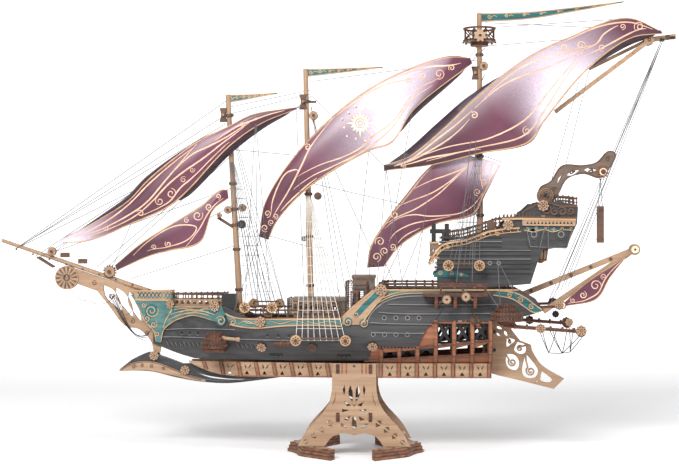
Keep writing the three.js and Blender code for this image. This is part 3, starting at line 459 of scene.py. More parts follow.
def fill(outline, holes=(), pitch=None):
    """Triangles over an outline less its holes, and the rim's edges."""
    loops = [list(outline), *map(list, holes)]
    if pitch:
        loops = [dense(loop, max(pitch)) for loop in loops]
    points, edges = [], []
    for loop in loops:
        start, count = len(points), len(loop)
        points += [(p[0], p[1]) for p in loop]
        edges += [(start + i, start + (i + 1) % count) for i in range(count)]
    if pitch:
        lo, hi = np.min(loops[0], axis=0), np.max(loops[0], axis=0)
        grid = np.array([(u, v) for u in np.arange(lo[0] + pitch[0] / 2, hi[0], pitch[0])
                         for v in np.arange(lo[1] + pitch[1] / 2, hi[1], pitch[1])])
        rim_points = np.array(points)
        keep = inside(grid, loops)
        near = np.array([np.min(np.sum((rim_points - g) ** 2,
                                       axis=1)) for g in grid]) > (min(pitch) * 0.45) ** 2
        points += [tuple(g) for g in grid[keep & near]]
    made, _, triangles, *_ = delaunay_2d_cdt([Vector(p) for p in points], edges, [], 1, 1e-4, False)
    made, triangles = np.array([tuple(p) for p in made]), np.array([list(t) for t in triangles])
    triangles = triangles[inside(made[triangles].mean(axis=1), loops)]
    used = {}
    for t in triangles:
        for a, b in ((t[0], t[1]), (t[1], t[2]), (t[2], t[0])):
            key = (min(a, b), max(a, b))
            used[key] = None if key in used else (a, b)
    return made, triangles.tolist(), [e for e in used.values() if e]


# ---------- Pieces ----------
SHARP = 35  # degrees between faces that keep a crisp edge


class Piece:
    """One named piece: points and faces gathered from several shapes, each with its material."""

    def __init__(self, name, slot="tan_ply", body="ship", replaces=()):
        self.name, self.slot, self.body, self.replaced = name, slot, body, replaces
        self.points, self.faces, self.kinds, self.used, self.layers = [], [], [], [], []

    def add(self, points, faces, material, painted_light=None):
        if material not in self.used:
            self.used.append(material)
        base = len(self.points)
        self.points += points
        self.faces += [[base + i for i in face] for face in faces]
        self.kinds += [self.used.index(material)] * len(faces)
        # per-point painted highlight and painted shade for the sail material; 0 where none is given
        self.layers += painted_light if painted_light else [0.0] * len(points)

    def slab(self, material, surf, outline, holes=(), h0=0.0, h1=1.0, pitch=None):
        points, triangles, rim = fill(outline, holes, pitch)
        n = len(points)
        both = [surf(u, v, h1) for u, v in points] + [surf(u, v, h0) for u, v in points]
        faces = triangles + [[n + i for i in reversed(t)] for t in triangles] + [[a, b, n + b, n + a] for a,
                                                                                 b in rim]
        self.add(both, faces, material)

    def loft(self, material, rings):
        """A solid skinned over rings of equal count, closed by its first and last ring."""
        n, count = len(rings[0]), len(rings)
        faces = [[i * n + k, i * n + (k + 1) % n, (i + 1) * n + (k + 1) % n, (i + 1) * n + k]
                 for i in range(count - 1) for k in range(n)]
        faces += [list(range(n))[::-1], list(range((count - 1) * n, count * n))]
        self.add([tuple(p) for ring in rings for p in ring], faces, material)

    def ribbon(self, material, surf, path, width, height=0.35, sunk=0.15, taper=0.0):
        """A flat strip along a path on a surface; taper is the width at its ends as a share."""
        spots = [Vector(surf(u, v, 0)) for u, v in path]
        outs = [(Vector(surf(u, v, 1)) - Vector(surf(u, v, 0))).normalized() for u, v in path]
        last, rings = len(path) - 1, []
        for i, (spot, out) in enumerate(zip(spots, outs)):
            side = out.cross(spots[min(i + 1, last)] - spots[max(i - 1, 0)]).normalized()
            wide = width / 2 * (lerp(taper, 1, sin(pi * i / last)) if taper else 1)
            corners = ((-1, -sunk), (1, -sunk), (1, height), (-1, height))
            rings.append([spot + side * (s * wide) + out * h for s, h in corners])
        self.loft(material, rings)

    def tube(self, material, path, radius, sides=6):
        path = [Vector(p) for p in path]
        last, side, rings = len(path) - 1, None, []
        for i, spot in enumerate(path):
            ahead = (path[min(i + 1, last)] - path[max(i - 1, 0)]).normalized()
            side = side or ahead.orthogonal()
            side = (side - ahead * side.dot(ahead)).normalized()
            up = ahead.cross(side)
            rings.append([spot + side * a + up * b for a, b in circle(0, 0, radius, sides)])
        self.loft(material, rings)

    def turned(self, material, origin, axis, profile, sides=24):
        """A solid of revolution; the profile is (radius, distance along the axis)."""
        origin, ahead = Vector(origin), Vector(axis).normalized()
        side = ahead.orthogonal().normalized()
        up = ahead.cross(side)
        self.loft(material, [[origin + ahead * t + side * a + up * b for a, b in circle(0, 0, r, sides)]
                             for r, t in profile])

    def block(self, material, xs, ys, zs, chamfer=0.25):
        """A box with its long edges eased."""
        (x0, x1), (y0, y1), (z0, z1) = xs, ys, zs
        c = min(chamfer, (y1 - y0) / 3, (z1 - z0) / 3)
        ring = [(y0 + c, z0), (y1 - c, z0), (y1, z0 + c), (y1, z1 - c), (y1 - c, z1), (y0 + c, z1),
                (y0, z1 - c), (y0, z0 + c)]
        self.slab(material, lambda y, z, h: (x0 + h, y, z), ring, (), 0, x1 - x0)

    def beam(self, material, a, b, wide, tall):
        """A bar of rectangular section from a to b."""
        a, b = Vector(a), Vector(b)
        ahead = (b - a).normalized()
        side = ahead.cross(Vector((0, 0, 1))).normalized()
        rise = side.cross(ahead)
        self.loft(material, [[p + side * (s * wide / 2) + rise * (t * tall / 2)
                              for s, t in ((-1, -1), (1, -1), (1, 1), (-1, 1))] for p in (a, b)])

    def done(self):
        mesh = bpy.data.meshes.new(self.name)
        mesh.from_pydata([metres(p) for p in self.points], [], self.faces)
        for material in self.used:
            mesh.materials.append(mats[material])
        mesh.polygons.foreach_set("material_index", self.kinds)
        solid = bmesh.new()
        solid.from_mesh(mesh)
        bmesh.ops.recalc_face_normals(solid, faces=solid.faces)
        solid.to_mesh(mesh)
        solid.free()
        mesh.polygons.foreach_set("use_smooth", [True] * len(mesh.polygons))
        mesh.set_sharp_from_angle(angle=radians(SHARP))
        # the per-point layer of painted highlight (over 0) and painted shade (under 0) that the sail material reads
        if any(self.layers):
            mesh.attributes.new("painted_light", "FLOAT", "POINT").data.foreach_set("value", self.layers)
        made = bpy.data.objects.new(self.name, mesh)
        bpy.context.scene.collection.objects.link(made)
        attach(made, self.body)
        if self.replaced:
            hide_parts(*self.replaced)


def rosette(piece, surf, r, tone="ply_y", h=0.0):
    """A small cog: a dark backing disc, a lobed ring with slots, and a hub with its pin."""
    lobes = 8
    rim = [(a * (1 + 0.09 * cos(pi * k / 3)), b * (1 + 0.09 * cos(pi * k / 3)))
           for k, (a, b) in enumerate(circle(0, 0, r, lobes * 6))]
    slots = []
    for k in range(lobes):
        a = 2 * pi * (k + 0.5) / lobes
        slots.append([(q * cos(a + w), q * sin(a + w))
                      for q, w in ((r * 0.48, 0.0), (r * 0.68, -0.2), (r * 0.84, 0.0), (r * 0.68, 0.2))])
    piece.slab("black", surf, circle(0, 0, r * 0.92, 20), (), h - 0.3, h + 0.7)
    piece.slab(tone, surf, rim, slots, h + 0.7, h + 1.7)
    piece.slab("char", surf, circle(0, 0, r * 0.3, 10), (), h + 1.7, h + 2.1)
    piece.slab(tone, surf, circle(0, 0, r * 0.17, 8), (), h + 2.1, h + 2.6)


def eye(piece, surf, r, tone="cream", core="bark", h=0.0):
    """A plain disc with a turned ring and a dark middle: a deadeye or a pulley."""
    piece.slab("bark", surf, circle(0, 0, r * 0.9, 24), (), h - 0.3, h + 1.0)
    piece.slab(tone, surf, circle(0, 0, r, 28), [circle(0, 0, r * 0.36, 14)], h + 1.0, h + 2.2)
    piece.slab(core, surf, circle(0, 0, r * 0.36, 14), (), h + 0.9, h + 1.9)


def gear_outline(cx, cy, r, root, teeth):
    """A toothed rim: flat-topped teeth between two radii."""
    loop = []
    for k in range(teeth):
        for share, radius in ((0.0, root), (0.22, root), (0.34, r), (0.72, r), (0.84, root)):
            a = 2 * pi * (k + share) / teeth
            loop.append((cx + radius * cos(a), cy + radius * sin(a)))
    return loop


# ---------- Stand ----------
STAND_X, FOOT_TOP = 15, 9  # the feet's top is measured from the ground
PLATE_Y = half_beam(STAND_X, 0) + 0.3


def stand_plate(word, side):
    """The plate's outline is the CAD one; the lace cut out of it is finer."""
    neck = [(52, 9), (46, 20), (40, 28), (29, 40), (23, 50), (20.5, 61)]
    right = smooth([(x, lerp(9, 72, (z - 9) / 63)) for x, z in neck], 30)
    right[0] = (right[0][0], 9.3)
    right.append((20, 85.5))
    arch = smooth([(27, 9.3), (20, 18), (10, 21), (0, 19.5)], 16)
    half = [*arch[:-1][::-1], *right]
    outline = [(STAND_X + x, z - KEEL) for x, z in half] + [(STAND_X - x, z - KEEL) for x, z in half[::-1]]
    outline.append((STAND_X, arch[-1][1] - KEEL))
    holes = []

    def cut(loop, both=True):
        for s in ((-1, 1) if both else (1,)):
            holes.append([(STAND_X + s * x, z - KEEL) for x, z in loop])

    for z in (36, 80.4):
        cut(rect(15, z, 3.3, 8.3))
    cut(smooth([(1.6, 50), (4.6, 55), (5.2, 60), (3.6, 65), (1.6, 61), (1.2, 55), (1.6, 50)], 18)[:-1])
    cut([(9, 66), (10.4, 61), (9.2, 56), (8, 61)])
    cut([(16.6, 60), (18.2, 52), (20.6, 45.5), (17.6, 51)])
    cut([(2.6, 47), (9.6, 51), (6.4, 46)])
    cut([(4.2, 42.6), (11, 43.6), (11, 40.6)])
    cut([(3.4, 37.8), (9.6, 34), (5.6, 32.8)])
    cut([(0, 45.8), (2.4, 49), (0, 47.2), (-2.4, 49)], False)
    cut([(-1.6, 36.2), (1.6, 36.2), (2.6, 26.6), (0, 24.6), (-2.6, 26.6)], False)
    cut([(6, 26), (12, 31), (12, 27.4)])
    for k in range(4):
        cx, cz = lerp(22.5, 44.5, k / 3), lerp(30.5, 13.4, k / 3)
        along, off = (0.79, -0.61), (0.61, 0.79)
        room = (3.4, 2.9, 2.6, 1.7)[k]
        for way in (-1, 1):
            tri = [(-2.7, 0.8), (2.7, 0.8), (0, 0.8 + room)]
            cut([(cx + along[0] * a + off[0] * b * way, cz + along[1] * a + off[1] * b * way) for a,
                 b in tri])
    piece = Piece(f"stand_lace_{word}", "tan_ply", replaces=(f"stand_plate_{word}",))
    piece.slab("ply_y", upright(side * PLATE_Y, side), outline, holes, 0, 3)
    face = upright(side * (PLATE_Y + 3), side)
    for x in (-7.2, -11, 7.2, 11):  # the open tab row along the top edge
        piece.ribbon("rust_y", face, [(STAND_X + x, 85.5 - KEEL), (STAND_X + x, 76 - KEEL)], 1.2, 0.35)
    piece.ribbon("bark", face, [(STAND_X, 84 - KEEL), (STAND_X, 82 - KEEL)], 2.2, 0.3)
    piece.done()


def foot_inlay(end, word):
    """Scored chevrons on a foot's top, and the dowels that pin its layers."""
    piece = Piece(f"foot_inlay_{word}", "tan_ply")
    top = level(FOOT_TOP - KEEL)
    for s in (-1, 1):
        for k in range(4):
            x, y = STAND_X + end * lerp(50, 26, k / 3), s * lerp(10, 44, k / 3)
            piece.ribbon("bark", top, [(x - 4 * end, y - s), (x, y + 3 * s), (x + 3 * end, y - 2 * s)], 0.8,
                         0.15)
        for x, y in ((57, 5), (36, 36), (24, 50)):
            piece.slab("bark", tangent(top, STAND_X + end * x, s * y), circle(0, 0, 1.5, 10), (), -0.2, 0.4)
    piece.done()


for word, side in SIDES:
    stand_plate(word, side)
foot_inlay(-1, "fore")
foot_inlay(1, "aft")


# ---------- Hull skins ----------
def scrolls(piece, surf, width, h, *curls, base="teal"):
    """Curls of (x, z, radius, start, turns): painted discs with gilt spiral strips on them."""
    for cx, cz, r, start, turns in curls:
        if base:
            piece.slab(base, surf, circle(cx, cz, r * 1.02, 18), (), -0.1, h * 0.5)
        piece.ribbon("gilt", surf, spiral(cx, cz, r, start, turns), width, h, 0.1, 0.7)


def hull_side(word, side):
    skin, outer = Piece(f"hull_skin_{word}", "dark_ply", replaces=(f"hull_side_{word}",)), hull(side, SKIN)
    bow = smooth([(STEM_X, 29), (-165, 25), (-150, 20), (-135, 16)], 14)
    quarter = smooth([(77, 38), (82, 47), (90, 53), (141, 53.5)], 14)
    stern = smooth([(150, 55), (172, 58), (STERN_X, 63)], 8)
    outline = [*bow, (22, 16), (29, 19), (32, 30), (73, 30), *quarter, *stern, (180, 74), (166, SHEER),
               (40, SHEER),
               (22, 70), (6, 56), (-82, 55), (-104, 65), (-157, 64.5), (-161, 71), (STEM_X, 71)]
    skin.slab("char_edge", outer, outline, (), -1.6, 0, (7, 3.2))
    pin_y = half_beam(TURRET_FORE_X, WALE) + 14
    inner = half_beam(TURRET_FORE_X, TURRET_FORE_Z) - 0.8
    shelf = [(-10, inner), (10, inner), (10, pin_y + 6), (6, pin_y + 10), (-6, pin_y + 10), (-10, pin_y + 6)]
    skin.slab("rust_z", level(TURRET_FORE_Z), [(TURRET_FORE_X + x, side * y) for x, y in shelf], (), -3.3,
              -0.3)
    skin.turned("bark", (TURRET_FORE_X, side * pin_y, TURRET_FORE_Z - 3), (0, 0, 1), [(1.5, 0), (1.5, 14)],
                14)
    skin.done()

    lines = Piece(f"plank_lines_{word}", "dark_ply")
    strakes = [
        [(-168, 42), (-150, 43.6), (-128, 44.4), (-95, 44.2)],
        [(-171, 35), (-150, 36), (-100, 35.6), (-34, 35.3), (10, 35.6)],
        [(31, 43), (60, 42.4), (79, 42.4)],
        [(30, 52), (50, 51), (86, 50.6)],
        [(38, 61.4), (60, 60), (100, 60), (140, 60.4)],
        [(46, 68.6), (80, 68.2), (120, 68), (150, 68.6)],
    ]
    for strake in strakes:
        n = max(8, int((strake[-1][0] - strake[0][0]) / 6))
        lines.ribbon("plank", outer, smooth(strake, n), 0.8, 0.28)
        lines.ribbon("black", outer, [(x, z - 1.0) for x, z in smooth(strake, n)], 0.9, 0.14)
    ports = [(-147, 40), (-139, 40), (-131, 40), (-64, 39.6), (-54, 39.6), (-44, 39.6)]
    ports += [(43 + 10.5 * k, 56.3) for k in range(4)] + [(33 + 10.3 * k, 41.3) for k in range(4)]
    for k, (x, z) in enumerate(ports):
        spot = tangent(outer, x, z)
        if k > 5:  # the aft ports have rims
            lines.slab("plank", spot, circle(0, 0, 2.15, 16), [circle(0, 0, 1.55, 12)], -0.2, 0.25)
        lines.slab("black", spot, circle(0, 0, 1.5, 12), (), -0.3, 0.15)
        lines.ribbon("plank", spot, [(1.75 * cos(a), 1.75 * sin(a)) for a in np.linspace(-2.4, -0.7, 7)],
                     0.45, 0.3)
    for k in range(22):
        x = -164 + 4.3 * k
        if not -126 < x < -98:
            lines.ribbon("black", outer, [(x, 31.2), (x + 1.9, 27.6)], 0.9, 0.25)
            lines.ribbon("plank", outer, [(x + 1.1, 31.2), (x + 3.0, 27.6)], 0.35, 0.22)
    for x in (-57, 6):  # sweep ports low on the side
        spot = tangent(outer, x, 21.4)
        lines.slab("black", spot, rect(0, 0, 12.5, 3.2), (), -0.2, 0.3)
        for k in range(3):
            lines.slab("black", spot, circle(-4 + 4 * k, -1.8, 1.5, 10), (), -0.2, 0.45)
            lines.slab("plank", spot, circle(-4 + 4 * k, -2.0, 0.5, 8), (), 0.3, 0.6)
    lines.done()

    studs = Piece(f"rosettes_{word}", "tan_ply")
    for x, z, r in ((-70, 51.7, 4.7), (-69.8, 29, 4.4), (-22.8, 29.6, 4.0), (32.3, 30.8, 4.4),
                    (-113.4, 65.2, 4.7),
                    (39.8, 82.2, 5.2), (-157.4, 66.6, 4.2), (124.4, 54.4, 4.2)):
        tone = "bark" if x in (-22.8, 124.4) else "ply_y"
        rosette(studs, tangent(outer, x, min(z, 81.5)), r, tone, h=1.6 if z > 50 else 0.2)
    studs.done()

    cannon = Piece(f"cannon_{word}", "brown_ply")
    spot = Vector((-50.5, side * (half_beam(-50, 32.4) + 3.0), 32.4))
    cannon.turned("rust_x", spot - Vector((7.5, 0, 0)), (1, 0, 0),
                  [(1.2, 0), (2.4, 0.2), (2.4, 1.6), (1.8, 1.8), (1.8, 6), (2.2, 6.4), (2.2, 8), (1.7, 8.4),
                   (1.7, 12.6),
                   (2.5, 13), (2.5, 15), (0.8, 15.2)], 18)
    cannon.slab("bark", tangent(outer, -50.5, 32.4), rect(0, 0, 11, 5.4), (), -0.3, 1.0)
    cannon.done()


def trim(word, side):
    """Painted and gilded panels laid over the skin, forward and aft."""
    outer = hull(side, 4.0, 0.3)
    panel = Piece(f"bow_panel_{word}", "painted_trim", replaces=(f"bow_trim_{word}",))
    under = smooth([(-118, 52), (-135, 56), (-152, 53), (-164, 44), (-168, 30)], 20)
    fore = smooth([(-176, 42), (-186, 52), (-190, 64), (-197, 75)], 12)
    outline = [(-197, 75), (-157, 75.3), (-155, 65), (-108, 65.5), (-104, 58), (-110, 51), *under, (-173, 31),
               *fore[:-1]]
    panel.slab("teal_pale", outer, outline, (), 0, 1.2, (6, 3))
    face = hull(side, 4.0, 1.5)
    panel.slab("ply_y", face, [(-196, 79.4), (-158, 79.4), (-158, 69.6), (-191, 69.6)], (), -1.2, 0.25,
               (6, 3))
    for k in range(9):  # diamond lattice along the head rail
        x = -190 + 3.6 * k
        panel.ribbon("teal", face, [(x, 72), (x + 3.4, 77.6)], 0.9, 0.5)
        panel.ribbon("teal", face, [(x + 3.4, 72), (x, 77.6)], 0.9, 0.5)
    panel.ribbon("gilt", face, smooth([(-197, 79), (-180, 78.8), (-157, 79)], 10), 1.2, 0.7)
    panel.ribbon("gilt", face, smooth([(-193, 70.5), (-180, 70), (-158, 70)], 10), 0.9, 0.7)
    teal_fill = [(-156, 64), (-112, 64.6), (-112, 60), (-118, 57), (-128, 60.4), (-140, 60.8), (-150, 59),
                 (-157, 56)]
    panel.slab("teal", face, teal_fill, (), -0.2, 0.2, (5, 3))
    swell = [[(-157, 64), (-140, 64.4), (-112, 64.8)], [(-158, 57), (-146, 60.5), (-130, 61.6), (-114, 57.4)],
             [(-160, 52), (-148, 57), (-134, 59.2), (-120, 57)],
             [(-155, 61.4), (-144, 63), (-134, 60.5), (-124, 63), (-114, 62)],
             [(-150, 58), (-140, 62.4), (-130, 61), (-120, 60)],
             [(-168, 31), (-165.5, 42), (-157, 49.6), (-147, 54), (-134, 56.6), (-118, 53)],
             [(-173, 32), (-175, 41), (-184, 51), (-189, 62), (-193, 69)],
             [(-166, 44), (-163, 52), (-158, 60), (-157, 68)]]
    for line in swell:
        panel.ribbon("gilt", face, smooth(line, 20), 1.0, 0.5, 0.2, 0.5)
    for cx, cz, r, start, turns in ((-177, 60, 6.4, 0.4, -1.6), (-181.6, 52.6, 3.6, 2.2, 1.4),
                                    (-175, 47.2, 3.4, 1.0, -1.4),
                                    (-171.6, 38.6, 2.6, 2.0, 1.3), (-184.5, 65.6, 2.4, 0.6, -1.3)):
        scrolls(panel, face, 0.95, 0.55, (cx, cz, r, start, turns))
    panel.done()

    belt = Piece(f"scroll_belt_{word}", "painted_trim")
    face = hull(side, 4.0, 0.15)
    top = smooth([(-104, 59), (-99, 56.5), (-88, 54.6), (-60, 54.4), (-30, 55), (4, 55.6)], 30)
    low = smooth([(-100, 49), (-86, 46.6), (-70, 46.4), (-48, 48.6), (-20, 49.4), (4, 48.6)], 30)
    belt.slab("teal_pale", face, [*low, *top[::-1]], (), 0, 0.9, (6, 3))
    above = hull(side, 4.0, 1.0)
    belt.ribbon("gilt", above, top, 1.2, 0.5)
    belt.ribbon("gilt", above, low, 1.2, 0.5)
    for line in ([(-92, 49.6), (-84, 52.6), (-74, 49), (-64, 48.6)],
                 [(-62, 53), (-52, 50.6), (-40, 53.4), (-28, 51)],
                 [(-30, 53.6), (-18, 51), (-8, 53.4), (2, 51)], [(-88, 53), (-80, 50), (-70, 52.6)]):
        belt.slab("teal", above,
                  [(x, z + 1) for x, z in smooth(line, 12)] + [(x, z - 1.1) for x,
                                                               z in smooth(line, 12)[::-1]], (), -0.2, 0.2)
        belt.ribbon("gilt", above, smooth(line, 16), 0.8, 0.5, 0.1, 0.5)
    scrolls(belt, above, 1.1, 0.6, (-108.5, 52.2, 4.8, 2.6, -1.3))
    scrolls(belt, above, 0.9, 0.6, (-97, 51.4, 3.3, 2.6, -1.4))
    belt.done()

    sweep = Piece(f"quarter_scroll_{word}", "painted_trim")
    edge_a = smooth([(5, 57), (13, 65), (22, 72.5), (33, 81.5)], 20)
    edge_b = smooth([(22, 50), (29, 60), (37, 70), (46, 80.5)], 20)
    sweep.slab("ply_y", face, [*edge_b, *edge_a[::-1], (5, 50)], (), 0, 0.9, (6, 3))
    mid = [tuple(lerp(a[k], b[k], 0.5) for k in (0, 1)) for a, b in zip(edge_a, edge_b)]
    core = [(x + 2.0, z - 1.6) for x, z in mid[5:19]] + [(x - 2.0, z + 1.6) for x, z in mid[5:19][::-1]]
    sweep.slab("teal", above, core, (), -0.2, 0.25, (4, 3))
    sweep.ribbon("gilt", above, edge_a, 1.1, 0.5)
    sweep.ribbon("gilt", above, edge_b, 1.1, 0.5)
    sweep.ribbon("gilt", above, [(x - 2.2, z + 1.8) for x, z in mid[4:]], 0.7, 0.5)
    scrolls(sweep, above, 1.0, 0.6, (24.4, 51.4, 3.9, 0.8, -1.4))
    scrolls(sweep, above, 1.0, 0.6, (10, 52.6, 4.0, 2.0, 1.4))
    scrolls(sweep, above, 0.8, 0.6, (17.4, 59.4, 2.8, 2.0, 1.3))
    for off, wide in ((0.0, 1.0), (2.6, 0.8), (4.9, 0.8)):
        arc = smooth([(26.5 - off * 0.8, 50 + off * 0.2), (30.5 - off, 59 + off * 0.3),
                      (38 - off * 0.8, 67 + off * 0.6), (47, 72.4 + off * 0.9), (60, 75.4 + off),
                      (78, 76.2 + off), (98, 76.2 + off)], 30)
        sweep.ribbon("gilt" if off else "plank", face, arc, wide, 0.6)
    sweep.slab("teal_pale", face, [*smooth([(46, 76), (60, 78.6), (80, 79.6), (118, 79.6)], 16), (118, 81.6),
                                   (47, 81.6)], (), 0, 0.5, (6, 3))
    sweep.ribbon("gilt", face, smooth([(44, 81.6), (90, 81.6), (165, 81.6)], 20), 1.4, 0.9)
    top = smooth([(146, 81), (160, 79.6), (171, 74.6), (180, 68), (186, 63.6)], 20)
    low = smooth([(142, 77), (158, 74), (168, 68), (178, 61.4), (185, 62)], 20)
    sweep.slab("teal", face, [*low, *top[::-1]], (), 0, 0.6, (5, 3))
    sweep.ribbon("gilt", face, top, 1.0, 0.9)
    sweep.ribbon("gilt", face, low, 1.0, 0.9)
    for cx, cz, r, start, turns in ((157, 77, 2.6, 0.5, 1.3), (166.4, 72.6, 3.0, 2.5, -1.4),
                                    (176.6, 66.4, 2.8, 0.6, 1.4)):
        scrolls(sweep, hull(side, 4.0, 0.7), 0.8, 0.5, (cx, cz, r, start, turns), base=None)
    sweep.done()


def gallery(word, side):
    """The tan band along the keel with its ribs, and the open gallery above it aft."""
    flat = lambda x, z, h: (x, side * (half_beam(x, 0) + h), z)
    band = Piece(f"gallery_panels_{word}", "tan_ply", replaces=(f"gallery_band_{word}",))
    sweep = [(x, band_foot(x)) for x in (-141, -136, -130, -122, -110, SWEEP_X)]
    outline = [*sweep, (141, 0), (141, BAND), (-141, BAND)]
    tie_x = (0, 30)
    holes = [rect(x, 8.4, 3.3, 8.3) for x in tie_x]
    ribs = [FRAME_X - FRAME_STEP * k for k in range(17)]
    for x in ribs:
        mid = x - FRAME_STEP / 2
        if mid < -112 or any(abs(mid - t) < 9 for t in tie_x):
            continue
        lean = 2.2 if mid < -5 else 0
        holes.append([(mid - 2.1, 2), (mid + 2.1, 2), (mid, 5.6)])
        for s in (-1, 1):
            bow = [(s * 3.4, 12), (s * 1.1, 9.2), (s * 1.3, 7.2), (s * 2.6, 9.4)]
            holes.append([(mid + a + lean * (b - 6) / 12, b) for a, b in bow])
    band.slab("ply_y", flat, outline, holes, -1.6, 0, (8, 7))
    for x in ribs:
        if any(abs(x - t) < 3 for t in tie_x) or 0 < x < 30 or x < -128:
            continue
        lean = 3.0 if x < -5 else 0
        path = [(x + lean * (1 - t) * 0.9, lerp(band_foot(x), BAND - 0.2, t)) for t in (0, 0.3, 0.6, 1)]
        band.ribbon("rust_y", flat, path, 1.8, 1.6, 0.2)
        for off in (-1.7, 1.7):
            band.ribbon("bark", flat, [(a + off, b) for a, b in path], 0.6, 0.5, 0.1)
    band.ribbon("rust_y", flat, [(-112 + 5.0 * k, 0.7) for k in range(3, 51)], 1.0, 0.5, 0.1)
    band.done()

    open_part = Piece(f"gallery_frames_{word}", "brown_ply", replaces=(f"gallery_windows_{word}",))
    base = hull(side, 0, -1.9)
    rail = lambda x: lerp(17, 24.5, (x - 22) / 120)
    upper = lambda x: lerp(29, 37, (x - 60) / 80)
    top = 53.2
    outline = [(25, BAND + 0.3), (141, BAND + 0.3), (141, top), (84, top), (74, 31), (33, 30)]
    holes = []
    bays = [FRAME_X - FRAME_STEP * k for k in range(1, 7)]  # the forward end of each opening
    for x in bays:
        a, b = x + 1.4, x + 15.2
        if a > 30:
            holes.append([(a, rail(a)), (b, rail(b)), (b, upper(b) - 3.2), (a, min(28, upper(a) - 3.2))])
        if a > 84:
            holes.append([(a, upper(a)), (b, upper(b)), (b, top - 2), (a, top - 2)])
    open_part.slab("rust_y", base, outline, holes, -1.2, 0, (8, 5))
    for line, wide, first in ((rail, 2.2, 24), (upper, 2.4, 72)):
        path = [(q, line(q) - 1.2) for q in np.linspace(first, 141, 18)]
        open_part.ribbon("rust_z", base, path, wide, 1.5, 0.2)
    for x in (FRAME_X, *bays):
        post = np.linspace(BAND + 0.5, top if x > 84 else upper(x), 9)
        open_part.ribbon("rust_y", base, [(x + 0.6, z) for z in post], 2.6, 1.7, 0.2)
        open_part.ribbon("bark", base, [(x + 2.3, z) for z in post], 0.7, 0.9, 0.1)
    back = hull(side, 0, -5.2)
    for x in bays:  # the fretted screens inside: hourglasses above, hoops below
        mid = x + FRAME_STEP / 2
        if x > 84:
            z0, z1 = upper(mid) + 0.6, top - 1.6
            zm = (z0 + z1) / 2
            gaps = [[(mid - 3.2, z), (mid + 3.2, z), (mid, tip)] for z,
                    tip in ((z1 - 1, zm + 2.4), (z0 + 1, zm - 2.4))]
            gaps += [[(mid + s * 5.4, z0 + 2), (mid + s * 2, zm), (mid + s * 5.4, z1 - 2)] for s in (-1, 1)]
            open_part.slab("black", back, rect(mid, zm, 14.2, z1 - z0 + 2), gaps, -0.8, 0.2)
        else:
            z0, z1 = rail(mid), min(28, upper(mid)) - 1
            hoop = [(mid + 3.4 * cos(t), z0 + 1 + (z1 - z0) * 0.66 * sin(t)) for t in np.linspace(0, pi, 9)]
            open_part.slab("black", back, rect(mid, (z0 + z1) / 2, 14.2, z1 - z0 + 2), [hoop], -0.8, 0.2)
    for k in range(12):  # a toothed valance under the lower wale
        x = 36 + 3.1 * k
        open_part.slab("black", hull(side, 0, -1.6), [(x, 30), (x + 2.4, 30), (x + 1.2, 27.8)], (), 0, 1.0)
    open_part.done()


for word, side in SIDES:
    hull_side(word, side)
    trim(word, side)
    gallery(word, side)
